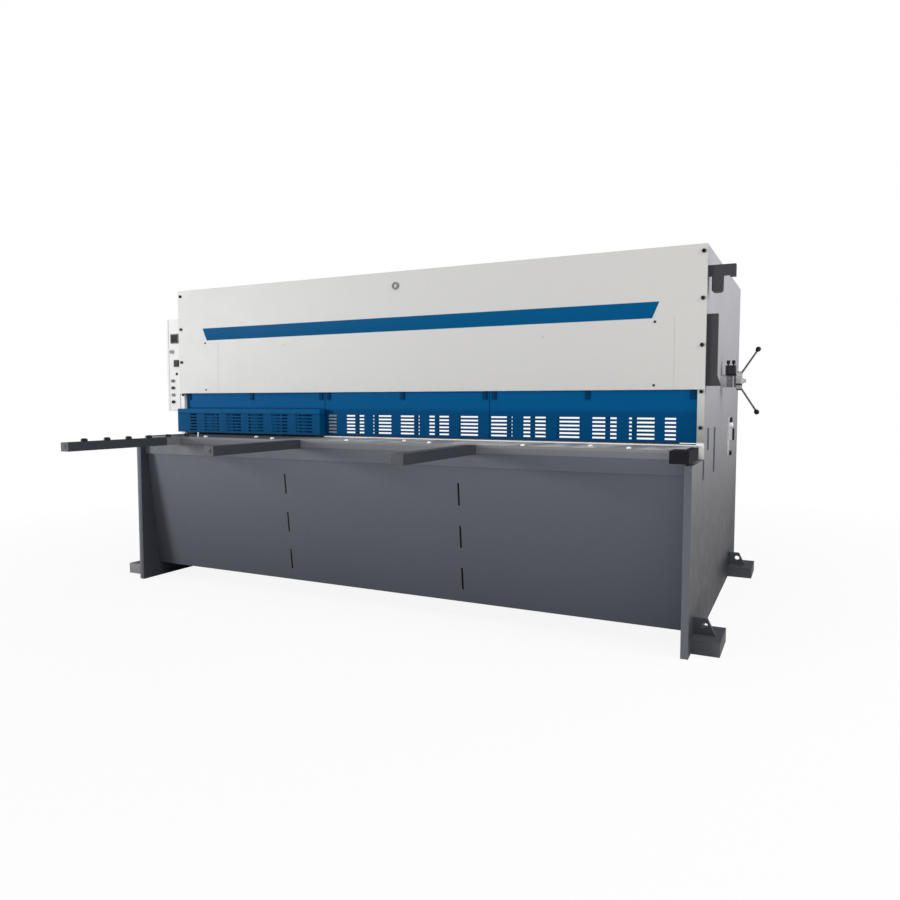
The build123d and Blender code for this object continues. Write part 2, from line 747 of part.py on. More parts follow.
# Hook on the outside of the right plate
hook_x = outer_x + joint_gap
hook_top = plate_height - hook_drop
with BuildPart() as side_hook:
    with BuildSketch(Plane.XZ.offset(-front - hook_setback)) as hook_outline:
        with Locations((hook_x, hook_top)):
            Rectangle(hook_width, hook_bar_height, align=(Align.MIN, Align.MAX))
        with Locations((hook_x + hook_width, hook_top)):
            Rectangle(hook_lip_width, hook_bar_height + hook_lip_drop, align=(Align.MAX, Align.MAX))
        with Locations((hook_x + hook_leg_reach, hook_top)):
            Rectangle(hook_leg_width, hook_bar_height + hook_leg_drop, align=(Align.MIN, Align.MAX))
    extrude(amount=-hook_thickness)
    leg_end = side_hook.faces().sort_by(Axis.Z)[0]
    fillet(leg_end.edges().filter_by(Axis.Y), hook_leg_width * 0.3)
side_hook.part.label = "side_hook"
export_step(side_hook.part, "parts/side_hook.step")

# Upright housing on the outside of the right plate, with a flared foot
housing_bottom = plate_height - housing_drop - housing_height
with BuildPart() as side_housing:
    with BuildSketch(Plane.XZ.offset(-front - housing_setback)) as housing_outline:
        with BuildLine() as housing_edge:
            Polyline(
                (hook_x, housing_bottom), (hook_x, housing_bottom + housing_height),
                (hook_x + housing_width, housing_bottom + housing_height),
                (hook_x + housing_width, housing_bottom + housing_foot_height),
                (hook_x + housing_width + housing_foot_reach, housing_bottom), close=True)
        make_face()
    extrude(amount=-housing_depth)
side_housing.part.label = "side_housing"
export_step(side_housing.part, "parts/side_housing.step")

# Control cabinet on the outside of the left plate
cabinet_right = -outer_x - joint_gap
cabinet_top = plate_height - cabinet_drop
cabinet_bottom = cabinet_top - cabinet_height
with BuildPart() as control_cabinet:
    with BuildSketch(Plane.XY.offset(cabinet_bottom)) as cabinet_plan:
        with Locations((cabinet_right, front + cabinet_setback)):
            Rectangle(cabinet_width, cabinet_depth, align=(Align.MAX, Align.MIN))
    extrude(amount=cabinet_height)
control_cabinet.part.label = "control_cabinet"
export_step(control_cabinet.part, "parts/control_cabinet.step")

panel_back = front + cabinet_setback - joint_gap
with BuildPart() as control_panel:
    with BuildSketch(Plane.XZ.offset(-panel_back)) as control_panel_outline:
        with Locations((cabinet_right - cabinet_panel_inset, (cabinet_bottom + cabinet_top) / 2)):
            Rectangle(
                cabinet_panel_width, cabinet_height - 2 * cabinet_panel_inset,
                align=(Align.MAX, Align.CENTER))
    extrude(amount=cabinet_panel_thickness)
control_panel.part.label = "control_panel"
export_step(control_panel.part, "parts/control_panel.step")

panel_face = panel_back - cabinet_panel_thickness
with BuildPart() as panel_screen:
    with BuildSketch(Plane.XZ.offset(-panel_face + joint_gap)) as screen_outline:
        with Locations((cabinet_right - screen_reach, cabinet_top - screen_drop)):
            Rectangle(screen_width, screen_height, align=(Align.CENTER, Align.MAX))
    extrude(amount=screen_thickness)
panel_screen.part.label = "panel_screen"
export_step(panel_screen.part, "parts/panel_screen.step")

with BuildPart() as panel_buttons:
    with BuildSketch(Plane.XZ.offset(-panel_face + joint_gap)) as button_outline:
        with Locations((cabinet_right - knob_switch_reach, cabinet_top - knob_switch_drop)):
            Circle(knob_switch_radius)
        with Locations((cabinet_right - square_switch_reach, cabinet_top - square_switch_drop)):
            Rectangle(square_switch_width, square_switch_height)
        for index in range(button_count):
            button_z = cabinet_top - button_first_drop - index * button_pitch
            with Locations((cabinet_right - button_reach, button_z)):
                Circle(button_radius)
    extrude(amount=button_length)
panel_buttons.part.label = "panel_buttons"
export_step(panel_buttons.part, "parts/panel_buttons.step")

# Sleeve and block that carry the gap lever on the right plate
lever_y = front + lever_setback
lever_height = table_height + lever_rise
sleeve_start = outer_x + joint_gap
sleeve_end = sleeve_start + lever_sleeve_length
with BuildPart() as lever_sleeve:
    with BuildSketch(Plane.YZ.offset(sleeve_start)) as sleeve_outline:
        with Locations((lever_y, lever_height)):
            Circle(lever_sleeve_radius)
            Circle(lever_shaft_radius + lever_shaft_clearance, mode=Mode.SUBTRACT)
    extrude(amount=lever_sleeve_length)
lever_sleeve.part.label = "lever_sleeve"
export_step(lever_sleeve.part, "parts/lever_sleeve.step")

block_bottom = lever_height + lever_sleeve_radius + joint_gap
with BuildPart() as lever_block:
    with BuildSketch(Plane.XY.offset(block_bottom)) as block_plan:
        with Locations((outer_x + block_reach, lever_y)):
            Rectangle(block_width, block_depth, align=(Align.MIN, Align.CENTER))
    extrude(amount=block_height)
lever_block.part.label = "lever_block"
export_step(lever_block.part, "parts/lever_block.step")

# Gap lever: shaft, hub and nose turned as one piece, then the raked arms and their knobs
hub_start = sleeve_end + lever_end_gap
hub_end = hub_start + lever_hub_length
nose_end = hub_end + lever_nose_length
with BuildPart() as lever_hub:
    with BuildSketch(Plane.XZ.offset(-lever_y)) as hub_outline:
        with BuildLine() as hub_edge:
            Polyline(
                (outer_x + lever_end_gap, lever_height),
                (outer_x + lever_end_gap, lever_height + lever_shaft_radius),
                (hub_start, lever_height + lever_shaft_radius),
                (hub_start, lever_height + lever_hub_radius),
                (hub_end, lever_height + lever_hub_radius),
                (hub_end, lever_height + lever_nose_radius),
                (nose_end, lever_height + lever_tip_radius),
                (nose_end, lever_height), close=True)
        make_face()
    revolve(axis=Axis((0, lever_y, lever_height), (1, 0, 0)))
lever_hub.part.label = "lever_hub"
export_step(lever_hub.part, "parts/lever_hub.step")

rake = radians(lever_arm_rake)
with BuildPart() as lever_arms:
    for index in range(lever_arm_count):
        turn = radians(90.0 + index * 360.0 / lever_arm_count)
        lean = Vector(sin(rake), cos(rake) * cos(turn), cos(rake) * sin(turn))
        foot_place = Vector(
            hub_end, lever_y + lever_arm_start * cos(turn), lever_height + lever_arm_start * sin(turn))
        with BuildSketch(Plane(foot_place - lean * lever_hub_length, z_dir=lean)) as arm_section:
            Circle(lever_arm_radius)
        extrude(amount=lever_hub_length + lever_arm_length)
    split(bisect_by=Plane.YZ.offset(hub_end + joint_gap), keep=Keep.TOP)
lever_arms.part.label = "lever_arms"
export_step(lever_arms.part, "parts/lever_arms.step")

with BuildPart() as lever_knobs:
    for index in range(lever_arm_count):
        turn = radians(90.0 + index * 360.0 / lever_arm_count)
        lean = Vector(sin(rake), cos(rake) * cos(turn), cos(rake) * sin(turn))
        foot_place = Vector(
            hub_end, lever_y + lever_arm_start * cos(turn), lever_height + lever_arm_start * sin(turn))
        knob_place = foot_place + lean * (lever_arm_length + joint_gap + knob_radius)
        with BuildSketch(Plane(knob_place, z_dir=lean)) as knob_section:
            Circle(knob_radius)
        extrude(amount=knob_radius, both=True)
    chamfer(lever_knobs.edges().filter_by(GeomType.CIRCLE), knob_chamfer)
lever_knobs.part.label = "lever_knobs"
export_step(lever_knobs.part, "parts/lever_knobs.step")

# Latch plate with two round grips and a handle, and the scale bars, on the right plate
latch_y = rear - latch_rear_inset
with BuildPart() as side_latch:
    with BuildSketch(Plane.YZ.offset(sleeve_start)) as latch_outline:
        with Locations((latch_y, latch_bottom + latch_height / 2)):
            SlotOverall(latch_height, latch_width, rotation=90)
    extrude(amount=latch_thickness)
    with BuildSketch(Plane.YZ.offset(sleeve_start)) as grip_outline:
        for z in (latch_bottom + latch_width / 2, latch_bottom + latch_height - latch_width / 2):
            with Locations((latch_y, z)):
                Circle(latch_knob_radius)
    extrude(amount=latch_thickness + latch_knob_length)
    with BuildSketch(Plane.YZ.offset(sleeve_start)) as handle_outline:
        with Locations((latch_y, latch_bottom + latch_handle_rise)):
            Rectangle(latch_handle_width, latch_handle_height, align=(Align.CENTER, Align.MIN))
    extrude(amount=latch_thickness + latch_handle_length)
side_latch.part.label = "side_latch"
export_step(side_latch.part, "parts/side_latch.step")

with BuildPart() as scale_bar:
    with BuildSketch(Plane.YZ.offset(sleeve_start)) as scale_outline:
        with Locations((front + scale_setback, scale_bottom)):
            Rectangle(scale_width, scale_height, align=(Align.CENTER, Align.MIN))
        with Locations((front + short_scale_setback, short_scale_bottom)):
            Rectangle(short_scale_width, short_scale_height, align=(Align.CENTER, Align.MIN))
    extrude(amount=scale_thickness)
scale_bar.part.label = "scale_bar"
export_step(scale_bar.part, "parts/scale_bar.step")
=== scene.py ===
from math import cos, pi, radians, sin

import bmesh
import bpy
import numpy as np
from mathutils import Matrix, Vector


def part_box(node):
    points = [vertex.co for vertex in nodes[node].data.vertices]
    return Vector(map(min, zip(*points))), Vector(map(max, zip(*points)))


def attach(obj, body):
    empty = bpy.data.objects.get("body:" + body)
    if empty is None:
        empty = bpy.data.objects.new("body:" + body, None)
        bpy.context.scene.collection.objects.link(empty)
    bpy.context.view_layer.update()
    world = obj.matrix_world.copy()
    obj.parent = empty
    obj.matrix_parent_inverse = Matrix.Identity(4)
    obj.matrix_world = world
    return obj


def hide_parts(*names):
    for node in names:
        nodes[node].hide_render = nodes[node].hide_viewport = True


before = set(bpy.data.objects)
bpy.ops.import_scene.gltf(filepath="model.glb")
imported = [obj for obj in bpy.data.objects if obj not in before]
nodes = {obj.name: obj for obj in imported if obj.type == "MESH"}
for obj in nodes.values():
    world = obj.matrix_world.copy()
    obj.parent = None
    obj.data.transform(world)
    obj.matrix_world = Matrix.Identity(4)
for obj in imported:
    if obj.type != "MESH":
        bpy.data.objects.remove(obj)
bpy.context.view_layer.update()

# Camera
# It stands in front of the machine and to its right, a little higher than the table,
# and looks at the guard.
look_down, look_left = 3.71, 26.18
camera = bpy.data.objects.new("camera", bpy.data.cameras.new("camera"))
bpy.context.scene.collection.objects.link(camera)
camera.data.sensor_width = 36.0
camera.data.lens = 29.23
camera.location = (2.0566, -4.1485, 1.0838)
camera.rotation_euler = (radians(90.0 - look_down), 0.0, radians(look_left))
bpy.context.scene.camera = camera


# Side plates
# Two flame-cut steel plates. Outside and along the rear they go from pale grey at the head to
# a dull dark grey at the floor: two-tone paint whose fade is painted shade, with painted shadows
# near the feet. Their upper front edges are pale with a painted highlight, their low parts grey
# inside and darkened there as painted shade.
class Wire:
    """An output socket of a material, on which +, -, *, < and > add Math nodes."""

    def __init__(self, tree, output=None):
        self.tree = tree
        self.output = output

    def node(self, kind, settings=None, inputs=None, output=0):
        """Add a node, set its settings, give each input a value or a link, wrap an output."""
        made = self.tree.nodes.new("ShaderNode" + kind)
        for key, value in (settings or {}).items():
            if key == "stops":
                elements = made.color_ramp.elements
                for element, (spot, colour) in zip(elements, (value[0], value[-1])):
                    element.position, element.color = spot, colour
                for spot, colour in value[1:-1]:
                    elements.new(spot).color = colour
            else:
                setattr(made, key, value)
        for key, value in (inputs or {}).items():
            if isinstance(value, Wire):
                self.tree.links.new(value.output, made.inputs[key])
            else:
                made.inputs[key].default_value = value
        return Wire(self.tree, made.outputs[output] if made.outputs else None)

    def math(self, operation, first, second=0.0):
        return self.node("Math", {"operation": operation}, {0: first, 1: second})

    def __add__(self, other):
        return self.math("ADD", self, other)

    def __radd__(self, other):
        return self.math("ADD", other, self)

    def __sub__(self, other):
        return self.math("SUBTRACT", self, other)

    def __rsub__(self, other):
        return self.math("SUBTRACT", other, self)

    def __mul__(self, other):
        return self.math("MULTIPLY", self, other)

    def __rmul__(self, other):
        return self.math("MULTIPLY", other, self)

    def __lt__(self, other):
        return self.math("LESS_THAN", self, other)

    def __gt__(self, other):
        return self.math("GREATER_THAN", self, other)

    def __abs__(self):
        return self.math("ABSOLUTE", self)


def seen(red, green, blue):
    """Turn a colour as the eye sees it, 0 to 255, into the linear one that a shader takes."""
    share = np.array([red, green, blue]) / 255.0
    linear = np.where(share <= 0.04045, share / 12.92, ((share + 0.055) / 1.055) ** 2.4)
    return (*(float(part) for part in linear), 1.0)


def shaded(colour, share):
    """The same colour, lighter or darker."""
    return (*(min(part * share, 1.0) for part in colour[:3]), 1.0)


def start_finish(name):
    """Make an empty material and hand back its Object coordinates, whole and split in three."""
    material = bpy.data.materials.new(name)
    material.use_nodes = True
    material.node_tree.nodes.clear()
    place = Wire(material.node_tree).node("TexCoord", output="Object")
    split = [place.node("SeparateXYZ", {}, {0: place}, axis) for axis in "XYZ"]
    return material, place, *split


def noise(place, scale, detail=3.0):
    """A share from 0 to 1 that drifts softly, with scale patches to a metre."""
    return place.node("TexNoise", {}, {"Vector": place, "Scale": scale, "Detail": detail})


def mixed(share, first, second):
    """A colour between two, by a share from 0 to 1."""
    return share.node("Mix", {"data_type": "RGBA"}, {0: share, 6: first, 7: second}, 2)


def close_finish(place, colour, roughness, height, depth, specular=0.3, **fixed):
    """End a material with one shader, whose bump is depth metres high."""
    bump = place.node("Bump", {}, {"Height": height, "Strength": 1.0, "Distance": depth})
    shader = place.node("BsdfPrincipled", {}, {
        "Base Color": colour, "Roughness": roughness, "Normal": bump,
        "Specular IOR Level": specular, **fixed})
    place.node("OutputMaterial", {}, {"Surface": shader})


def dress(finish, *names):
    """Give CAD nodes a material."""
    for name in names:
        nodes[name].data.materials.clear()
        nodes[name].data.materials.append(finish)


plate_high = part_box("side_plate_right")[1]
shoulder, edge_rise = 0.820, 0.5
skin, face_skin = 0.0001, 0.0005
inner_from, left_edge_inner = plate_high.x - 0.0315, -1.6095
relief_front, relief_rear, relief_tall = -0.655, -0.600, 0.092
shade_from, apron_side_from, head_from = -0.66, -0.59, -0.60
shadow_long, shadow_tall, shadow_z = 0.74, 0.09, 0.12
table_grey = seen(96, 99, 106)
plate_finish, place, across, depth, height = start_finish("plate_paint")
# The outer faces are two-tone paint, and their smooth fall to dark at the floor is painted shade;
# low down they are also a little darker towards the front, as painted shade.
outer_paint_and_shade = height.node("ValToRGB", {"stops": (
    (0.05, seen(52, 52, 56)), (0.16, seen(67, 67, 71)), (0.27, seen(99, 99, 103)),
    (0.38, seen(127, 127, 131)), (0.49, seen(152, 152, 156)), (0.60, seen(167, 166, 171)),
    (0.80, seen(186, 185, 190)), (1.0, seen(196, 195, 200)))},
    {0: height * (1.0 / plate_high.z)})
low_share = height.node("MapRange", {}, {
    "Value": height, "From Min": 1.1, "From Max": 0.5, "To Min": 0.0, "To Max": 1.0})
outer_paint_and_shade = mixed(low_share * (0.27 - depth * 0.36), outer_paint_and_shade, seen(60, 62, 64))
clouds = noise(place, 1.7, 6.0)
outer_paint_and_shade = mixed((clouds - 0.5) * 0.3 + 0.1, outer_paint_and_shade, seen(132, 131, 135))
# Painted contact shadows: soft dark patches low on the plates' outer faces by the rear and front
# feet.
for shadow_y, shadow_share in ((0.62, 0.95), (-0.84, 0.6)):
    shadow_spot = place.node("Mapping", {}, {
        "Vector": place, "Location": (0.0, -shadow_y / shadow_long, -shadow_z / shadow_tall),
        "Scale": (0.0, 1.0 / shadow_long, 1.0 / shadow_tall)})
    reach = shadow_spot.node("VectorMath", {"operation": "LENGTH"}, {0: shadow_spot}, "Value")
    dark_share = reach.node("MapRange", {"interpolation_type": "SMOOTHSTEP"}, {
        "Value": reach, "From Min": 0.2, "From Max": 1.2, "To Min": shadow_share, "To Max": 0.0})
    outer_paint_and_shade = mixed(dark_share, outer_paint_and_shade, seen(38, 41, 47))
# A painted shadow: a dark band on the outer faces just below the shoulder stands in for the shade
# of the relief slot.
relief = (depth > relief_front) * (depth < relief_rear) * (
    height > shoulder - relief_tall) * (height < shoulder)
outer_paint_and_shade = mixed(relief * 0.8, outer_paint_and_shade, seen(40, 42, 46))
# The upper front edges are pale and darker towards the shoulder; the white band just above the
# shoulder is a painted highlight.
pale_edge_and_highlight = height.node("ValToRGB", {"stops": (
    (0.0, seen(254, 254, 254)), (0.145, seen(254, 254, 254)), (0.165, seen(150, 146, 142)),
    (0.35, seen(178, 180, 176)), (0.62, seen(204, 204, 200)), (1.0, seen(208, 208, 204)))},
    {0: (height - shoulder) * (1.0 / edge_rise)})
# The left plate's upper edges are an even off-white: their pale paint, made lighter as painted
# light that lifts the shade they lie in.
pale_edge_and_highlight = mixed(across < 0.0, pale_edge_and_highlight, seen(244, 244, 243))
inner_face = abs(across) < inner_from
low_edge = mixed((across > left_edge_inner) * (across < 0.0), table_grey, seen(66, 67, 73))
# Low inner faces are grey paint darkened as painted shade.
low_paint = mixed(inner_face, low_edge, seen(62, 65, 73))
# Low faces from just behind the relief slot to the apron's side are near black, as painted shade.
low_paint = mixed(depth > shade_from, low_paint, seen(30, 30, 34))
low_paint = mixed(depth > apron_side_from, low_paint, shaded(table_grey, 0.8))
# Inner faces inside the head are white, painted light that lifts them where they show through the
# guard's slots.
high_paint = mixed(inner_face * (depth > head_from), pale_edge_and_highlight, seen(250, 250, 250))
inside_paint = mixed(height > shoulder + face_skin, low_paint, high_paint)
outside = (abs(across) > plate_high.x - skin) + (depth > plate_high.y - skin)
plate_colour = mixed(outside, inside_paint, outer_paint_and_shade)
patches = noise(place, 14.0, 8.0)
close_finish(
    place, plate_colour, 0.5 + (patches - 0.5) * 0.2, noise(place, 120.0, 3.0), depth=0.00006,
    specular=0.2)
dress(plate_finish, "side_plate_left", "side_plate_right")


# Feet
# Blocks of flat bar welded outside each plate, with a drilled hole for the anchor bolt.
# The right ones have a gusset with a round window, and paint has gone dull near the floor.
def soft_above(field, start, end, share):
    """A share that rises softly from 0, where the field is below start, to its full above end."""
    return field.node("MapRange", {"interpolation_type": "SMOOTHSTEP"}, {
        "Value": field, "From Min": start, "From Max": end, "To Min": 0.0, "To Max": share})


def coat(name, colour, roughness=0.45, drift=0.06, peel=0.00006, grime=0.0, specular=0.3):
    """Baked paint: its colour drifts, its skin is orange peel, and grime gathers in patches."""
    material, place, *_ = start_finish(name)
    clouds = noise(place, 2.1, 6.0)
    patches = noise(place, 9.0, 8.0)
    peel_bumps = noise(place, 380.0, 2.0)
    paint = mixed(clouds, shaded(colour, 1.0 - drift), shaded(colour, 1.0 + drift))
    if grime:
        paint = mixed(soft_above(patches, 0.45, 0.8, grime), paint, seen(74, 70, 64))
    close_finish(
        place, paint, roughness + (patches - 0.5) * 0.16, peel_bumps, depth=peel, specular=specular)
    return material


foot_finish = coat(
    "foot_paint", seen(82, 84, 91), roughness=0.58, drift=0.1, peel=0.00012, grime=0.4)
dress(foot_finish, "foot_front_right", "foot_rear_right")
# The left feet are the same feet painted paler: painted light from the lamp on their side.
lit_foot = coat(
    "lit_foot_paint", seen(128, 128, 131), roughness=0.58, drift=0.1, peel=0.00012, grime=0.3)
dress(lit_foot, "foot_front_left", "foot_rear_left")


# Table
# A planed steel plate, darker at its left end as painted shade under the guard's step, and
# painted along its front edge. A small pin, white as a painted highlight, and two rows of ball
# units, each a turned ring with a ball, stand on it.
def steel(name, colour, grain, roughness, metallic):
    """Ground steel: noise stretched along the grain gives lines in colour, gloss and bump."""
    material, place, *_ = start_finish(name)
    lines = noise(place.node("Mapping", {}, {"Vector": place, "Scale": grain}), 1.0, 4.0)
    stains = noise(place, 6.0, 7.0)
    tint = mixed(lines, shaded(colour, 0.82), shaded(colour, 1.15))
    tint = mixed(soft_above(stains, 0.45, 0.75, 0.3), tint, shaded(colour, 0.6))
    gloss = roughness + (lines - 0.5) * 0.2 + (stains - 0.5) * 0.1
    close_finish(place, tint, gloss, lines, depth=0.00005, specular=0.5, Metallic=metallic)
    return material


def add_piece(name, points, faces, finish, slot, body="machine", sharp=32.0):
    """Make a mesh of points and faces, merge its poles, turn its faces out and let it ride."""
    mesh = bpy.data.meshes.new(name)
    mesh.from_pydata(np.reshape(points, (-1, 3)).tolist(), [], faces)
    shell = bmesh.new()
    shell.from_mesh(mesh)
    bmesh.ops.remove_doubles(shell, verts=shell.verts, dist=1e-6)
    bmesh.ops.recalc_face_normals(shell, faces=shell.faces)
    shell.to_mesh(mesh)
    shell.free()
    mesh.shade_smooth()
    mesh.set_sharp_from_angle(angle=radians(sharp))
    mesh.materials.append(finish)
    piece = bpy.data.objects.new(name, mesh)
    bpy.context.scene.collection.objects.link(piece)
    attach(piece, body)
    return piece


def grid_faces(copies, rows, sides):
    """Quads between neighbouring rows of a grid whose columns close round, for each copy."""
    copy, row, side = np.meshgrid(
        np.arange(copies), np.arange(rows - 1), np.arange(sides), indexing="ij")
    start = copy * rows * sides + row * sides
    following = (side + 1) % sides
    quads = np.stack([
        start + side, start + following, start + sides + following, start + sides + side], axis=-1)
    return quads.reshape(-1, 4).tolist()


def turned(profile, places, axis, sides=24):
    """Carry a profile round an axis at each place: along = h, across = r cos t and r sin t.

    A row is (radius, height), and a third value pulls it in from a circle to a hexagon.
    """
    rows = np.array([(*row, 0.0)[:3] for row in profile], float)
    turn = np.linspace(0.0, 2.0 * pi, sides, endpoint=False)
    hexagon = cos(pi / 6.0) / np.cos(turn % (pi / 3.0) - pi / 6.0)
    radius = rows[:, :1] * (1.0 + rows[:, 2:] * (hexagon - 1.0))
    along = np.array(axis, float) / np.linalg.norm(axis)
    across = np.cross(along, (0.0, 0.0, 1.0) if abs(along[2]) < 0.9 else (1.0, 0.0, 0.0))
    across /= np.linalg.norm(across)
    upward = np.cross(along, across)
    shape = (
        rows[:, 1][:, None, None] * along + (radius * np.cos(turn))[..., None] * across
        + (radius * np.sin(turn))[..., None] * upward)
    points = np.array(places, float)[:, None, None, :] + shape[None]
    return points, grid_faces(len(places), len(rows), sides)


def rounded(radius, height, foot, count):
    """Rows of a quarter circle over a foot: radius = r cos t, height = foot + h sin t."""
    steps = np.linspace(0.0, pi / 2.0, count)
    return [(radius * cos(step), foot + height * sin(step)) for step in steps]


table_low, table_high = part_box("table_top")
painted_edge, shade_before, shade_past = 0.012, 0.25, 0.15
step_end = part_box("guard_panel_left")[1].x
table_finish, place, across, depth, height = start_finish("table_steel")
lines = noise(place.node("Mapping", {}, {"Vector": place, "Scale": (3.0, 90.0, 90.0)}), 1.0, 5.0)
stains = noise(place.node("Mapping", {}, {"Vector": place, "Scale": (9.0, 3.0, 3.0)}), 1.0, 6.0)
planed = mixed(lines, seen(160, 160, 161), seen(196, 196, 198))
planed = mixed(soft_above(stains, 0.46, 0.62, 0.6), planed, seen(104, 101, 98))
# Painted shade: the table darkens to the left of the guard's step end, in the step's shade.
shade = across.node("MapRange", {}, {
    "Value": across, "From Min": step_end + shade_before, "From Max": step_end - shade_past,
    "To Min": 0.0, "To Max": 1.0})
planed = mixed(shade, planed, seen(84, 86, 90))
front_paint = mixed(
    height > table_high.z - painted_edge, seen(120, 121, 127), seen(134, 134, 137))
table_colour = mixed(depth < table_low.y + face_skin, planed, front_paint)
table_gloss = 0.6 + (lines - 0.5) * 0.2 + (stains - 0.5) * 0.1
close_finish(place, table_colour, table_gloss, lines, depth=0.00005, specular=0.05)
dress(table_finish, "table_top")

upwards = (0, 0, 1)
ball_white = coat("ball_nylon", seen(254, 254, 254), roughness=0.3, drift=0.002, peel=0.00002)
ring_steel = steel(
    "ring_steel", seen(170, 170, 170), grain=(200.0, 200.0, 200.0), roughness=0.3, metallic=0.9)
ball_low, ball_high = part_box("table_balls")
ring_radius, ball_radius, ball_pitch, rear_shift = 0.012, 0.0111, 0.4925, 0.296
first_x = ball_low.x + ring_radius
ball_places = [
    (first_x + ball_pitch * step, ball_low.y + ring_radius, table_high.z) for step in range(6)]
ball_places += [
    (first_x + rear_shift + 2.0 * ball_pitch * step, ball_high.y - ring_radius, table_high.z)
    for step in range(3)]
ring = [
    (0.0, 0.0), (ring_radius, 0.0), (ring_radius, 0.0014), (0.0116, 0.0019), (0.0112, 0.0019),
    (0.0, 0.0015)]
dome = [(0.0, 0.0004), (ball_radius, 0.0006), *rounded(ball_radius, 0.0062, 0.0036, 8)]
add_piece("ball_rings", *turned(ring, ball_places, upwards), ring_steel, "steel")
balls = add_piece("ball_domes", *turned(dome, ball_places, upwards), ball_white, "steel")
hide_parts("table_balls")
# A small steel pin, given the balls' pure white as a painted highlight.
pin_radius, pin_tall, pin_x, pin_back = 0.003, 0.026, -1.165, 0.008
pin = [(0.0, 0.0), (pin_radius, 0.0), *rounded(pin_radius, pin_radius, pin_tall, 4)]
pin_place = (pin_x, table_low.y + pin_back, table_high.z)
add_piece("table_pin", *turned(pin, [pin_place], upwards), ball_white, "steel")

# Table beam and apron
# Folded sheet under the table in satin grey, a little darker low down as painted shade. It leans
# back towards the floor and has two columns of three upright slots, with a black strip behind
# each column as painted shade, standing in for the dark under the table.
apron_finish, place, _, _, height = start_finish("apron_paint")
# Painted shade: the apron darkens towards the floor.
apron_shade_fade = mixed(height * (1.0 / table_low.z), seen(56, 60, 69), seen(93, 97, 107))
drift = noise(place, 1.3, 5.0)
apron_colour = mixed((drift - 0.5) * 0.4 + 0.2, apron_shade_fade, seen(84, 86, 93))
patches = noise(place, 11.0, 8.0)
close_finish(
    place, apron_colour, 0.55 + (patches - 0.5) * 0.2, noise(place, 340.0, 3.0), depth=0.00008)
dress(apron_finish, "front_apron", "table_beam")


def rounded_plate(centre, width, height, depth, corner, edge, facing, sides=8):
    """A plate with rounded corners and front rim, built as outlines carried through its edge.

    An outline is a rectangle whose corners are quarter circles, moved in as the rim turns over.
    facing gives the directions of its width, its height and its outward side.
    """
    steps = np.linspace(0.0, pi / 2.0, sides)
    turn = np.concatenate([steps + quarter * pi / 2.0 for quarter in range(4)])
    side_x = np.repeat([1.0, -1.0, -1.0, 1.0], sides)
    side_y = np.repeat([1.0, 1.0, -1.0, -1.0], sides)
    rim = np.linspace(0.0, pi / 2.0, 5)
    inset = np.concatenate([[0.0], edge * (1.0 - np.cos(rim))])[:, None]
    out = np.concatenate([[0.0], depth - edge + edge * np.sin(rim)])[:, None]
    radius = np.maximum(corner - inset, 1e-4)
    along = side_x * (width / 2.0 - corner) + radius * np.cos(turn)
    up = side_y * (height / 2.0 - corner) + radius * np.sin(turn)
    ways = np.array(facing, float)
    points = (
        np.array(centre, float) + along[..., None] * ways[0] + up[..., None] * ways[1]
        + (out + 0.0 * along)[..., None] * ways[2])
    rows, count = along.shape
    faces = grid_faces(1, rows, count)
    faces.append(list(range(count)))
    faces.append(list(range((rows - 1) * count, rows * count)))
    return points, faces


apron_low, apron_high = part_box("front_apron")
apron_lean, apron_skin, apron_rise = 0.074, 0.010, apron_high.z - apron_low.z
apron_slope = np.array([0.0, -apron_lean, apron_rise]) / np.hypot(apron_lean, apron_rise)
apron_outward = np.cross(apron_slope, (1.0, 0.0, 0.0)) * -1.0
apron_facing = ((1, 0, 0), apron_slope, apron_outward)
# Black sheets behind the apron's slots are painted shade, standing in for the dark under the table.
strip_wide, strip_tall, strip_depth, strip_gap, strip_z = 0.034, 0.58, 0.004, 0.004, 0.42
slot_shade_black = coat("slot_shade_paint", seen(22, 22, 25), roughness=0.7)
strip_front = apron_low.y + apron_lean * (apron_high.z - strip_z) / apron_rise
for strip_name, strip_x in (("apron_slot_shade_left", -0.546), ("apron_slot_shade_right", 0.520)):
    strip_centre = np.array([strip_x, strip_front, strip_z]) - apron_outward * (
        apron_skin + strip_gap + strip_depth)
    strip = rounded_plate(
        strip_centre, strip_wide, strip_tall, strip_depth, corner=0.002, edge=0.0005,
        facing=apron_facing)
    add_piece(strip_name, *strip, slot_shade_black, "dark_paint")

# Front cover
# A pale sheet over the head, with a round plastic boss in it. Black cap screws hold its ends to
# the plates, smaller ones hold the sheet, and a bare blue stripe is stuck across it.
cover_low, cover_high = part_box("front_cover")
stripe_top, stripe_bottom = 1.5526, 1.4764
left_seam, right_seam, seam_half_width = -1.290, 1.487, 0.0014
cover_finish, place, across, _, height = start_finish("cover_paint")
# Painted light: the cover is a touch lighter at its left end, towards the lamp on that side.
tone_lit_from_left = mixed(
    across * (1.0 / (cover_high.x - cover_low.x)) + 0.5, seen(211, 211, 210), seen(208, 207, 204))
clouds = noise(place, 2.0, 6.0)
tone_lit_from_left = mixed((clouds - 0.5) * 0.3 + 0.15, tone_lit_from_left, seen(206, 205, 203))
seam = (abs(across - left_seam) < seam_half_width) + (abs(across - right_seam) < seam_half_width)
seam = seam * (height < stripe_bottom)
cover_colour = mixed(seam * 0.22, tone_lit_from_left, seen(120, 120, 118))
patches = noise(place, 12.0, 8.0)
cover_relief = noise(place, 380.0, 2.0) * 0.06 - seam
close_finish(place, cover_colour, 0.45 + (patches - 0.5) * 0.14, cover_relief, depth=0.0005)
dress(cover_finish, "front_cover", "top_cover")

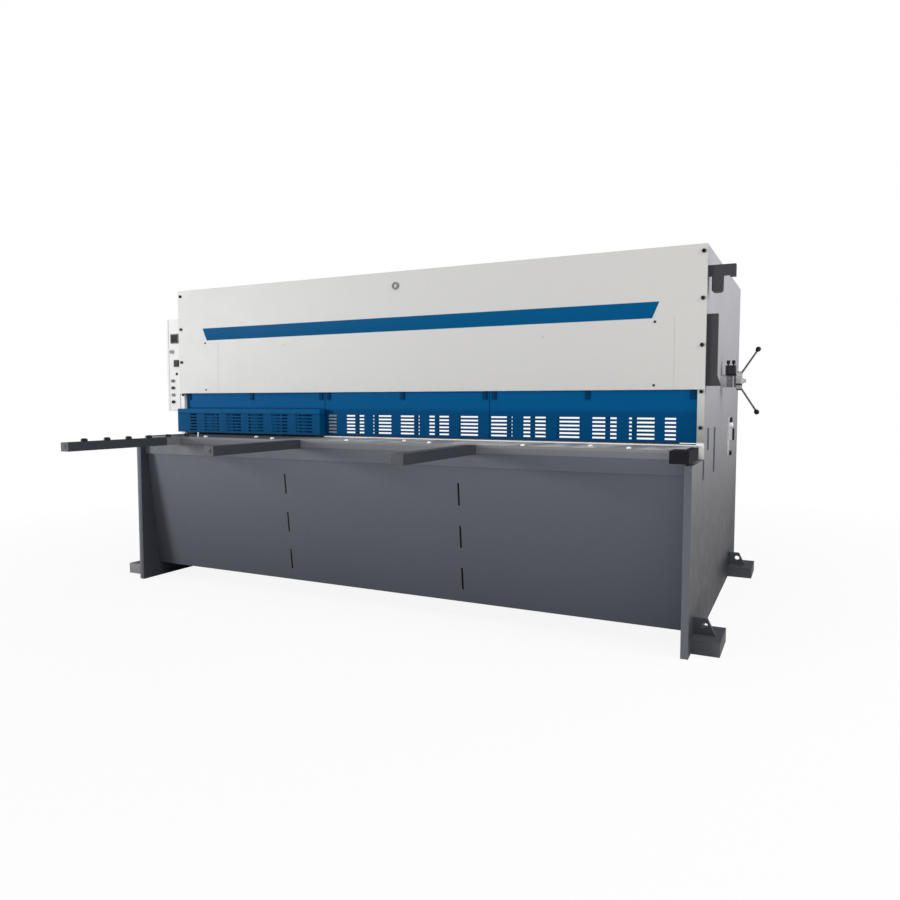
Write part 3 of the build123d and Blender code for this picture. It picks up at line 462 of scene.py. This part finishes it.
forwards = (0, -1, 0)
front_facing = ((1, 0, 0), (0, 0, 1), forwards)
stripe_blue = coat(
    "stripe_film", seen(6, 84, 132), roughness=0.45, drift=0.04, peel=0.00002, specular=0.02)
stripe_length, stripe_slant, film = 2.800, 0.300, 0.0006
stripe_middle = (stripe_top + stripe_bottom) / 2.0
stripe_points, stripe_faces = rounded_plate(
    (0, cover_low.y, stripe_middle), stripe_length, stripe_top - stripe_bottom, film, corner=0.0015,
    edge=0.0002, facing=front_facing)
stripe_points[..., 0] *= 1.0 + (stripe_points[..., 2] - stripe_middle) * stripe_slant
add_piece("cover_stripe", stripe_points, stripe_faces, stripe_blue, "blue_paint")


def cap_screw(head, tall):
    """Profile of a socket head screw: an upright rim, a broken edge and a hexagon socket."""
    socket = head * 0.56
    return [
        (0.0, 0.0), (head, 0.0), (head, tall * 0.86), (head * 0.93, tall), (socket * 1.12, tall),
        (socket, tall * 0.94, 1), (socket, tall * 0.45, 1), (0.0, tall * 0.4)]


def middle(name):
    """The middle of a CAD node's box."""
    low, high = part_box(name)
    return [(start + end) / 2.0 for start, end in zip(low, high)]


screw_black = coat("blackened_steel", seen(24, 24, 26), roughness=0.5, drift=0.15, peel=0.00003)
right_screws, left_screws, left_drop = 1.609, -1.602, 0.003
edge_screws = [
    (x, cover_low.y, z - drop) for x, drop in ((left_screws, left_drop), (right_screws, 0.0))
    for z in (1.767, 1.557, 1.346)]
plate_screws = [
    (x, cover_high.y, z)
    for x, z in ((left_screws, 1.134), (right_screws, 1.134), (right_screws, 0.968))]
sheet_screw_x = 1.397
sheet_screws = [
    (x, cover_low.y, z) for x in (-sheet_screw_x, sheet_screw_x) for z in (1.460, 1.165)]
small_screws = [(x, cover_low.y, z) for x, z in ((0.849, 1.411), (-0.774, 1.427))]
button_head = [
    (0.0, 0.0), (0.006, 0.0), (0.0058, 0.0012), (0.0047, 0.0026), (0.0030, 0.0031),
    (0.0026, 0.0028, 1), (0.0026, 0.0012, 1), (0.0, 0.0010)]
small_share = 0.6
small_head = [(small_share * row[0], small_share * row[1], *row[2:]) for row in button_head]
for screw_name, head, spots, screw_finish, slot in (
        ("cover_screws", cap_screw(0.009, 0.007), edge_screws, screw_black, "dark_paint"),
        ("plate_screws", cap_screw(0.0085, 0.007), plate_screws, screw_black, "dark_paint"),
        ("sheet_screws", button_head, sheet_screws, screw_black, "dark_paint"),
        ("small_screws", small_head, small_screws, ring_steel, "steel")):
    add_piece(screw_name, *turned(head, spots, forwards), screw_finish, slot)

boss_x, _, boss_z = middle("cover_boss")
boss_rear, boss_core_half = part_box("cover_boss")[1].y, 0.0085
boss_finish, place, across, _, height = start_finish("boss_plastic")
boss_core = (abs(across) < boss_core_half) * (abs(height - boss_z) < boss_core_half)
boss_colour = mixed(noise(place, 30.0), seen(118, 118, 116), seen(136, 136, 134))
boss_colour = mixed(boss_core, boss_colour, seen(200, 200, 196))
boss_gloss = 0.5 + (noise(place, 60.0) - 0.5) * 0.1
close_finish(place, boss_colour, boss_gloss, noise(place, 300.0), depth=0.00004)
boss = [
    (0.0, 0.0), (0.020, 0.0), (0.020, 0.005), (0.0185, 0.0075), (0.0155, 0.008), (0.0125, 0.0072),
    (0.0105, 0.003), (0.0, 0.0022)]
boss_points, boss_faces = turned(boss, [(boss_x, boss_rear, boss_z)], forwards, sides=40)
boss_piece = add_piece("boss_cap", boss_points, boss_faces, boss_finish, "white_paint")
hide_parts("cover_boss")

# Guard
# Three folded blue sheets with slots, ribs behind them, and tabs that hang them on an angle,
# darker over the slots and in the step's creases as painted shade, and with a painted highlight
# on the step's hem. A blue sheet, lightened as painted light, backs the left one's slots, and a
# white strip at the foot of the others is a painted highlight.
guard_low, guard_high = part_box("guard_panel_left")
step_top, step_skin, hem, crease = guard_low.z + 0.149, 0.001, 0.029, 0.007
slots_top, guard_tall = 0.136, guard_high.z - guard_low.z
guard_blue, place, _, _, height = start_finish("guard_paint")
clouds = noise(place, 2.1, 6.0)
# The blue is darker over the slots as painted shade, and lighter towards the top.
guard_shade_fade = height.node("ValToRGB", {"stops": (
    (0.0, seen(4, 72, 120)), (slots_top / guard_tall, seen(4, 74, 122)),
    (slots_top / guard_tall + 0.1, seen(4, 90, 143)), (0.8, seen(4, 92, 146)),
    (1.0, seen(4, 98, 160)))},
    {0: (height - guard_low.z) * (1.0 / guard_tall)})
guard_colour = mixed((clouds - 0.5) * 0.5 + 0.15, guard_shade_fade, seen(3, 80, 130))
guard_gloss = 0.5 + (clouds - 0.5) * 0.16
close_finish(
    place, guard_colour, guard_gloss, noise(place, 380.0, 2.0), depth=0.00006, specular=0.02)
dress(guard_blue, "guard_panel_middle", "guard_panel_right")

step_blue, place, _, _, height = start_finish("step_paint")
clouds = noise(place, 2.1, 6.0)
step_colour = mixed(clouds, seen(4, 76, 122), seen(4, 82, 131))
step_colour = mixed(height > step_top + step_skin, step_colour, seen(4, 92, 148))
# The lighter hem band below the step's top is a painted highlight, and the dark lines in the
# creases above and below it are painted shade.
hem_highlight = (height > step_top - hem) * (height < step_top + step_skin)
step_colour = mixed(hem_highlight, step_colour, seen(8, 91, 140))
upper_crease_shade = abs(height - step_top - crease * 0.6) < crease * 0.5
lower_crease_shade = abs(height - step_top + hem) < crease * 0.5
step_colour = mixed((upper_crease_shade + lower_crease_shade) * 0.7, step_colour, seen(6, 50, 86))
step_gloss = 0.5 + (clouds - 0.5) * 0.16
close_finish(place, step_colour, step_gloss, noise(place, 380.0, 2.0), depth=0.00006, specular=0.02)
dress(step_blue, "guard_panel_left")
rib_blue = coat("rib_paint", seen(8, 66, 108), roughness=0.5, drift=0.08, specular=0.02)
dress(rib_blue, "guard_ribs", "guard_rail")
tab_blue = coat("tab_paint", seen(6, 62, 104), roughness=0.5, drift=0.1, specular=0.02)
dress(tab_blue, "guard_tabs")

backing_depth, backing_gap, backing_inset = 0.002, 0.001, 0.08
slots_low, slots_high = guard_low.z + 0.004, step_top - 0.016
backing_centre = (
    (guard_low.x + guard_high.x) / 2.0, guard_high.y - backing_gap + backing_depth,
    (slots_low + slots_high) / 2.0)
# The backing sheet's blue is lightened, as painted light on a sheet that lies in shade behind the
# slots.
backing_blue = coat("backing_paint", seen(24, 124, 190), roughness=0.5, drift=0.1, specular=0.02)
backing = rounded_plate(
    backing_centre, guard_high.x - guard_low.x - backing_inset, slots_high - slots_low,
    backing_depth, corner=0.003, edge=0.0005, facing=front_facing)
add_piece("guard_backing", *backing, backing_blue, "blue_paint")

# A painted highlight: a white strip on the table at the foot of the middle and right guard sheets
# stands in for the bright line seen under them.
highlight_depth, highlight_tall, highlight_out, highlight_lift = 0.004, 0.0062, 0.010, 0.0002
highlight_right = plate_high.x - 0.033
guard_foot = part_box("guard_panel_right")[0].y
gap_highlight_white = coat(
    "gap_highlight_paint", seen(254, 254, 254), roughness=0.4, drift=0.002, peel=0.00002, specular=0.1)
gap_highlight_centre = (
    (guard_high.x + highlight_right) / 2.0, guard_foot - highlight_out + highlight_depth,
    table_high.z + highlight_tall / 2.0 + highlight_lift)
gap_highlight_strip = rounded_plate(
    gap_highlight_centre, highlight_right - guard_high.x, highlight_tall, highlight_depth, corner=0.0008, edge=0.0005,
    facing=front_facing)
add_piece("gap_highlight_strip", *gap_highlight_strip, gap_highlight_white, "steel")

# Inside the head
# Swing beam, its pivots and cylinders, the hold-downs and the two blades, in workshop grey
# and ground steel. Little of them is seen past the guard.
inner_grey = coat("inner_paint", seen(150, 152, 156), roughness=0.5, drift=0.08, grime=0.2)
dress(inner_grey, "swing_beam", "hold_down_beam", "head_tie_beam", "table_web")
blade_steel = steel(
    "blade_steel", seen(176, 176, 178), grain=(4.0, 200.0, 200.0), roughness=0.28, metallic=0.9)
dress(blade_steel, "upper_blade", "lower_blade")
rod_steel = steel(
    "rod_steel", seen(168, 168, 170), grain=(160.0, 160.0, 6.0), roughness=0.3, metallic=0.9)
dress(rod_steel, "hold_downs", "main_cylinders", "beam_pivots")

# Rear of the machine
# Oil tank, square cross beam, the slide that cut pieces run down, and the back gauge's rails
# and beam.
rear_grey = coat("rear_paint", seen(104, 107, 113), roughness=0.5, drift=0.08, grime=0.25)
dress(rear_grey, "oil_tank", "rear_cross_beam")
slide_steel = steel(
    "slide_steel", seen(150, 150, 150), grain=(120.0, 5.0, 5.0), roughness=0.4, metallic=0.8)
dress(slide_steel, "sheet_slide", "gauge_rails", "gauge_beam")

# Arms
# Dark painted tubes that carry the sheet. Their closed ends are a lighter grey, painted light on
# the lit fronts, and two hold a dark patch that is painted shade in a hole. The left one squares
# the sheet: it is grey at its root and has black stops along its top.
arm_fronts = [
    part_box(name)[0].y + face_skin
    for name in ("squaring_arm", "support_arm_left", "support_arm_right")]
end_skin, root_from = 0.001, -1.061
root_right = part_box("squaring_arm")[1].x + end_skin
arm_finish, place, across, depth, height = start_finish("arm_paint")
clouds = noise(place, 3.0, 6.0)
arm_paint = mixed(clouds, seen(46, 50, 56), seen(60, 63, 69))
arm_paint = mixed((across < root_right) * (depth > root_from), arm_paint, seen(108, 108, 114))
# The tube ends are the arms' paint made lighter, as painted light on their lit fronts.
squaring_end = depth < arm_fronts[0]
support_ends = (abs(depth - arm_fronts[1]) < end_skin) + (abs(depth - arm_fronts[2]) < end_skin)
arm_paint = mixed(squaring_end + support_ends, arm_paint, seen(76, 77, 81))
# Painted shade: a dark patch on the squaring arm's end stands in for the shade in its hole.
hole_wide, hole_tall, hole_out, hole_aside, hole_raise = 0.013, 0.024, 0.0012, 0.009, 0.004
end_x, _, end_z = middle("squaring_arm")
in_width = abs(across - end_x - hole_aside) < hole_wide / 2
in_height = abs(height - end_z - hole_raise) < hole_tall / 2
arm_paint = mixed(in_width * in_height * squaring_end, arm_paint, seen(24, 24, 26))
patches = noise(place, 10.0, 8.0)
close_finish(
    place, arm_paint, 0.55 + (patches - 0.5) * 0.2, noise(place, 320.0, 3.0), depth=0.00008)
dress(arm_finish, "squaring_arm", "support_arm_left", "support_arm_right")
short_arm_finish = coat(
    "short_arm_paint", seen(22, 21, 28), roughness=0.6, drift=0.12, specular=0.15)
dress(short_arm_finish, "short_arm")

stop_black = coat("stop_plastic", seen(24, 24, 26), roughness=0.45, drift=0.1)
stop_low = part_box("arm_stops")[0]
stop_radius, stop_pitch = 0.017, 0.1385
stop_places = [
    (stop_low.x + stop_radius, stop_low.y + stop_radius + stop_pitch * step, stop_low.z)
    for step in range(6)]
stop = [
    (0.0, 0.0), (stop_radius, 0.0), (stop_radius, 0.0105), (0.0158, 0.0125), (0.0128, 0.0128),
    (0.0122, 0.016), (0.007, 0.016), (0.0065, 0.0156, 1), (0.0065, 0.011, 1), (0.0, 0.0105)]
stops = add_piece(
    "arm_stop_knobs", *turned(stop, stop_places, upwards), stop_black, "black_plastic")
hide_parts("arm_stops")
# A thin black plate on the left support arm's end is painted shade in its hole.
end_x, _, end_z = middle("support_arm_left")
hole_shade = rounded_plate(
    (end_x + hole_aside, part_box("support_arm_left")[0].y, end_z + hole_raise), hole_wide,
    hole_tall, hole_out, corner=0.005, edge=0.0005, facing=front_facing)
add_piece("support_arm_left_hole_shade", *hole_shade, stop_black, "black_plastic")

# Hook and housing
# A sheared and bent bracket and an upright box of folded sheet on the right plate, both in
# charcoal paint.
hook_finish = coat("hook_paint", seen(64, 64, 67), roughness=0.48, drift=0.12, specular=0.2)
dress(hook_finish, "side_hook", "side_housing")

# Control cabinet
# A white sheet box on the left plate. Its narrow front carries a grey screen, a turning knob,
# a square switch, a small lamp and four round push buttons.
panel_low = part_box("control_panel")[0]
door_gap_half = 0.0028
for name, gap_x in (("control_cabinet", -0.0125), ("control_panel", 0.0030)):
    white_finish, place, across, *_ = start_finish(name + "_paint")
    door_gap = abs(across - (panel_low.x + gap_x)) < door_gap_half
    white_colour = mixed(noise(place, 3.0), seen(228, 228, 227), seen(233, 233, 232))
    white_colour = mixed(door_gap * 0.8, white_colour, seen(150, 150, 152))
    white_gloss = 0.45 + (noise(place, 9.0) - 0.5) * 0.1
    close_finish(
        place, white_colour, white_gloss, noise(place, 380.0, 2.0), depth=0.00005, specular=0.2)
    dress(white_finish, name)

button_half, knob_half, knob_x, knob_z, knob_core = 0.015, 0.015, -1.6933, 1.414, 0.0055
button_finish, place, _, _, height = start_finish("button_plastic")
button_colour = mixed(noise(place, 40.0), seen(58, 58, 60), seen(70, 70, 72))
for button_z, tone in ((1.225, 116), (1.1794, 56), (1.1338, 150), (1.0882, 26)):
    on_button = abs(height - button_z) < button_half
    button_colour = mixed(on_button, button_colour, seen(tone, tone, tone + 2))
on_front = place.node(
    "VectorMath", {"operation": "MULTIPLY"}, {0: place, 1: (1.0, 0.0, 1.0)})
from_core = place.node(
    "VectorMath", {"operation": "DISTANCE"}, {0: on_front, 1: (knob_x, 0.0, knob_z)}, "Value")
knob_rim = (height > knob_z - knob_half) * (from_core > knob_core)
button_colour = mixed(knob_rim, button_colour, seen(178, 178, 178))
button_gloss = 0.45 + (noise(place, 60.0) - 0.5) * 0.1
close_finish(place, button_colour, button_gloss, noise(place, 300.0), depth=0.00003, specular=0.03)
dress(button_finish, "panel_buttons")

screen_low, screen_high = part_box("panel_screen")
screen_x, _, screen_z = middle("panel_screen")
screen_wide, screen_tall = screen_high.x - screen_low.x, screen_high.z - screen_low.z
bezel_out, glass_out, glass_inset, glass_behind = 0.004, 0.0010, 0.014, 0.0012
bezel_grey = coat("bezel_plastic", seen(122, 122, 122), roughness=0.6, drift=0.06, specular=0.05)
bezel_shape = rounded_plate(
    (screen_x, screen_high.y, screen_z), screen_wide, screen_tall, bezel_out, corner=0.005,
    edge=0.0015, facing=front_facing)
bezel = add_piece("screen_bezel", *bezel_shape, bezel_grey, "black_plastic")
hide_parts("panel_screen")
screen_finish, place, *_ = start_finish("screen_glass")
cells = place.node("TexBrick", {"offset": 0.0}, {
    "Vector": place.node("Mapping", {}, {"Vector": place, "Rotation": (radians(90.0), 0.0, 0.0)}),
    "Color1": seen(84, 84, 86), "Color2": seen(66, 66, 68), "Mortar": seen(34, 35, 37),
    "Scale": 60.0, "Mortar Size": 0.04}, "Color")
screen_gloss = 0.6 + noise(place, 40.0) * 0.08
close_finish(place, cells, screen_gloss, noise(place, 500.0), depth=0.00001, specular=0.02)
glass = rounded_plate(
    (screen_x, screen_low.y + glass_behind, screen_z), screen_wide - glass_inset,
    screen_tall - glass_inset, glass_out, corner=0.003, edge=0.0003, facing=front_facing)
add_piece("screen_glass", *glass, screen_finish, "black_plastic")
lamp_radius, lamp_rim, lamp_x, lamp_z = 0.009, 0.003, -1.655, 1.270
lamp_rows = [(0.0, 0.0), (lamp_radius, 0.0), (lamp_radius, lamp_rim)]
lamp_rows += rounded(0.0082, 0.003, lamp_rim, 5)
panel_lamp = turned(lamp_rows, [(lamp_x, panel_low.y, lamp_z)], forwards)
add_piece("panel_lamp", *panel_lamp, screw_black, "black_plastic")

# Gap lever
# A turned steel hub on a shaft in a sleeve, with a clamp block over it that two cap screws pull
# down. Two thin rods lean out of the hub's face and end in black knobs.
hub_low, hub_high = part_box("lever_hub")
sleeve_low, sleeve_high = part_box("lever_sleeve")
_, lever_y, lever_z = middle("lever_hub")
shade_band_drop, shade_band_half, face_back, foot_shade_band, top_shade_band = 0.020, 0.0055, 0.020, 0.007, 0.004
hub_finish, place, across, _, height = start_finish("hub_steel")
turning_scale = (200.0, 12.0, 12.0)
turning = noise(place.node("Mapping", {}, {"Vector": place, "Scale": turning_scale}), 1.0, 4.0)
hub_colour = mixed(turning, seen(160, 160, 160), seen(206, 206, 204))
# Painted shade: dark bands at the hub's top and foot edges and along one line below its middle,
# away from its outer face.
hub_shade_bands = (abs(height - lever_z + shade_band_drop) < shade_band_half) + (
    height < hub_low.z + foot_shade_band) + (height > hub_high.z - top_shade_band)
hub_colour = mixed(hub_shade_bands * (across < hub_high.x - face_back), hub_colour, seen(58, 58, 58))
turned_gloss = 0.45 + (turning - 0.5) * 0.2
close_finish(place, hub_colour, turned_gloss, turning, depth=0.00006, specular=0.4, Metallic=0.2)
dress(hub_finish, "lever_hub")

root_to = sleeve_low.x + 0.030
highlight_from, highlight_to = sleeve_high.x - 0.0165, sleeve_high.x - 0.0115
sleeve_finish, place, across, *_ = start_finish("sleeve_steel")
turning = noise(place.node("Mapping", {}, {"Vector": place, "Scale": turning_scale}), 1.0, 4.0)
sleeve_colour = mixed(turning, seen(112, 111, 117), seen(136, 135, 141))
sleeve_colour = mixed(across < root_to, sleeve_colour, seen(176, 175, 180))
# A painted highlight: a thin white band round the sleeve near its outer end.
ring_highlight = (across > highlight_from) * (across < highlight_to)
sleeve_colour = mixed(ring_highlight, sleeve_colour, seen(236, 236, 236))
turned_gloss = 0.45 + (turning - 0.5) * 0.2
close_finish(place, sleeve_colour, turned_gloss, turning, depth=0.00006, specular=0.4, Metallic=0.1)
dress(sleeve_finish, "lever_sleeve")
rod_finish = steel(
    "lever_rod_steel", seen(98, 98, 99), grain=(60.0, 60.0, 60.0), roughness=0.4, metallic=0.3)
dress(rod_finish, "lever_arms")

block_low, block_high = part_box("lever_block")
block_x, block_y, _ = middle("lever_block")
block_drop, screw_half_pitch = 0.018, 0.0135
block_top = block_high.z - block_drop
up_facing = ((1, 0, 0), (0, 1, 0), upwards)
block_black = coat("block_paint", seen(46, 46, 50), roughness=0.5, drift=0.1)
block_shape = rounded_plate(
    (block_x, block_y, block_low.z), block_high.x - block_low.x, block_high.y - block_low.y,
    block_top - block_low.z, corner=0.004, edge=0.002, facing=up_facing)
block = add_piece("clamp_block", *block_shape, block_black, "dark_paint")
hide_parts("lever_block")
neck_radius, head_radius, socket_radius = 0.0044, 0.0088, 0.0046
neck_tall, head_tall = 0.0085, 0.0185
clamp_screw = [
    (0.0, 0.0), (neck_radius, 0.0), (neck_radius, neck_tall), (head_radius, neck_tall),
    (head_radius, neck_tall + head_tall * 0.9), (head_radius * 0.9, neck_tall + head_tall),
    (socket_radius, neck_tall + head_tall), (socket_radius, neck_tall + head_tall * 0.6, 1),
    (0.0, neck_tall + head_tall * 0.55)]
block_screws = [(block_x + way * screw_half_pitch, block_y, block_top) for way in (-1, 1)]
add_piece("block_screws", *turned(clamp_screw, block_screws, upwards), screw_black, "dark_paint")

knob_black = coat("knob_plastic", seen(20, 20, 22), roughness=0.3, drift=0.05, peel=0.00001)
lever_axis = np.array([0.0, lever_y, lever_z])
rake, rod_start, rod_to_knob, hub_length = radians(32.6), 0.043, 0.1443, 0.0243
knob_reach = rod_start + rod_to_knob * cos(rake)
knob_out = sleeve_high.x + hub_length + rod_to_knob * sin(rake)
ball_wide, ball_tall = 0.0132, 0.0138
ball = [(ball_wide * sin(turn), -ball_tall * cos(turn)) for turn in np.linspace(0.0, pi, 17)]
collar = [
    (0.0, -ball_tall), (0.0078, -ball_tall), (0.0082, -0.0110), (0.0076, -0.0080), (0.0, -0.0076)]
knob_points, knob_faces = [], []
for way in (1, -1):
    for profile in (ball, collar):
        points, faces = turned(
            profile, [lever_axis + (knob_out, 0.0, way * knob_reach)],
            (sin(rake), 0.0, way * cos(rake)))
        offset = sum(len(part) for part in knob_points)
        knob_points.append(points.reshape(-1, 3))
        knob_faces += (np.array(faces) + offset).tolist()
knobs = add_piece(
    "lever_ball_knobs", np.concatenate(knob_points), knob_faces, knob_black, "black_plastic",
    "gap_lever")
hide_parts("lever_knobs")

# Latch and scale bars
# A pale strip with two dark round grips, a handle with a black grip along its outer side and a
# white cap over it, and two narrow scale strips, all on the right plate.
latch_low, latch_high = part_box("side_latch")
grip_tall, grip_out, handle_black_from = 0.034, 0.010, 0.026
latch_finish, place, across, _, height = start_finish("latch_paint")
out = across - latch_low.x
at_ends = (height > latch_high.z - grip_tall) + (height < latch_low.z + grip_tall)
latch_colour = mixed(noise(place, 20.0), seen(200, 199, 203), seen(222, 221, 224))
latch_colour = mixed((out > grip_out) * at_ends, latch_colour, seen(40, 40, 42))
latch_colour = mixed(out > handle_black_from, latch_colour, seen(20, 20, 22))
latch_gloss = 0.5 + (noise(place, 60.0) - 0.5) * 0.1
close_finish(place, latch_colour, latch_gloss, noise(place, 300.0), depth=0.00006)
dress(latch_finish, "side_latch")
cap_radius, cap_rim, cap_out, cap_z = 0.015, 0.012, 0.0082, 0.954
cap_white = coat("cap_plastic", seen(250, 250, 250), roughness=0.4, drift=0.01, peel=0.00002)
cap = [(0.0, 0.0), (cap_radius, 0.0), (cap_radius, cap_rim), *rounded(0.0148, 0.009, cap_rim, 7)]
latch_y = middle("side_latch")[1]
latch_cap = turned(cap, [(latch_low.x + cap_out, latch_y, cap_z)], (1, 0, 0))
add_piece("latch_cap", *latch_cap, cap_white, "white_paint")

scale_finish, place, *_ = start_finish("scale_paint")
marks = place.node(
    "TexWave", {"bands_direction": "Z"}, {"Vector": place, "Scale": 60.0, "Detail": 0.0}, "Fac")
scale_colour = mixed(noise(place, 30.0), seen(100, 104, 112), seen(122, 126, 134))
scale_colour = mixed((marks > 0.8) * 0.3, scale_colour, seen(70, 74, 82))
scale_gloss = 0.5 + (noise(place, 60.0) - 0.5) * 0.1
close_finish(place, scale_colour, scale_gloss, noise(place, 300.0), depth=0.00006)
dress(scale_finish, "scale_bar")

# Floor and light
# A pale floor that fades into a white backdrop, a large soft lamp far out on the left, a weaker
# one on the right, one overhead, and an even white surround.
floor_half, near, far_out, near_white = 40.0, 2.2, 5.0, 0.90
floor_pale, all_white = (0.92, 0.92, 0.92, 1.0), (1.0, 1.0, 1.0, 1.0)
floor_mesh = bpy.data.meshes.new("floor")
floor_corners = [
    (x * floor_half, y * floor_half, 0.0) for x, y in ((-1, -1), (1, -1), (1, 1), (-1, 1))]
floor_mesh.from_pydata(floor_corners, [], [(0, 1, 2, 3)])
floor = bpy.data.objects.new("floor", floor_mesh)
bpy.context.scene.collection.objects.link(floor)
floor_finish, place, *_ = start_finish("floor_pale")
distance = place.node("VectorMath", {"operation": "LENGTH"}, {0: place}, "Value")
white_share = place.node("MapRange", {}, {
    "Value": distance, "From Min": near, "From Max": far_out, "To Min": near_white, "To Max": 1.0})
matt = place.node("BsdfDiffuse", {}, {"Color": floor_pale})
glow = place.node("Emission", {}, {"Color": all_white, "Strength": 1.0})
eye = place.node("LightPath", output="Is Camera Ray")
floor_surface = place.node("MixShader", {}, {0: eye * white_share, 1: matt, 2: glow})
place.node("OutputMaterial", {}, {"Surface": floor_surface})
floor_mesh.materials.append(floor_finish)

light_level, gloss_level, backdrop_level = 0.34, 0.25, 1.0
world = bpy.data.worlds.new("surround")
bpy.context.scene.world = world
world.use_nodes = True
world.node_tree.nodes.clear()
sky = Wire(world.node_tree)
soft, dim, white = [
    sky.node("Background", {}, {"Color": all_white, "Strength": strength})
    for strength in (light_level, gloss_level, backdrop_level)]
glossy = sky.node("LightPath", output="Is Glossy Ray")
eye = sky.node("LightPath", output="Is Camera Ray")
around = sky.node("MixShader", {}, {0: glossy, 1: soft, 2: dim})
sky.node("OutputWorld", {}, {"Surface": sky.node("MixShader", {}, {0: eye, 1: around, 2: white})})

for lamp_name, lamp_place, lamp_aim, lamp_size, lamp_power in (
        ("key_lamp", (-18.5, -16.5, 2.6), (0.0, -0.4, 0.9), 7.0, 4000.0),
        ("side_lamp", (6.5, -1.5, 3.6), (1.2, 0.2, 1.0), 4.0, 212.0),
        ("top_lamp", (0.0, -1.2, 7.0), (0.0, -0.8, 0.9), 6.0, 120.0)):
    lamp = bpy.data.objects.new(lamp_name, bpy.data.lights.new(lamp_name, "AREA"))
    bpy.context.scene.collection.objects.link(lamp)
    lamp.data.size = lamp_size
    lamp.data.energy = lamp_power
    lamp.location = lamp_place
    lamp.rotation_mode = "QUATERNION"
    lamp.rotation_quaternion = (Vector(lamp_aim) - Vector(lamp_place)).to_track_quat("-Z", "Y")
bpy.context.scene.view_settings.view_transform = "Standard"
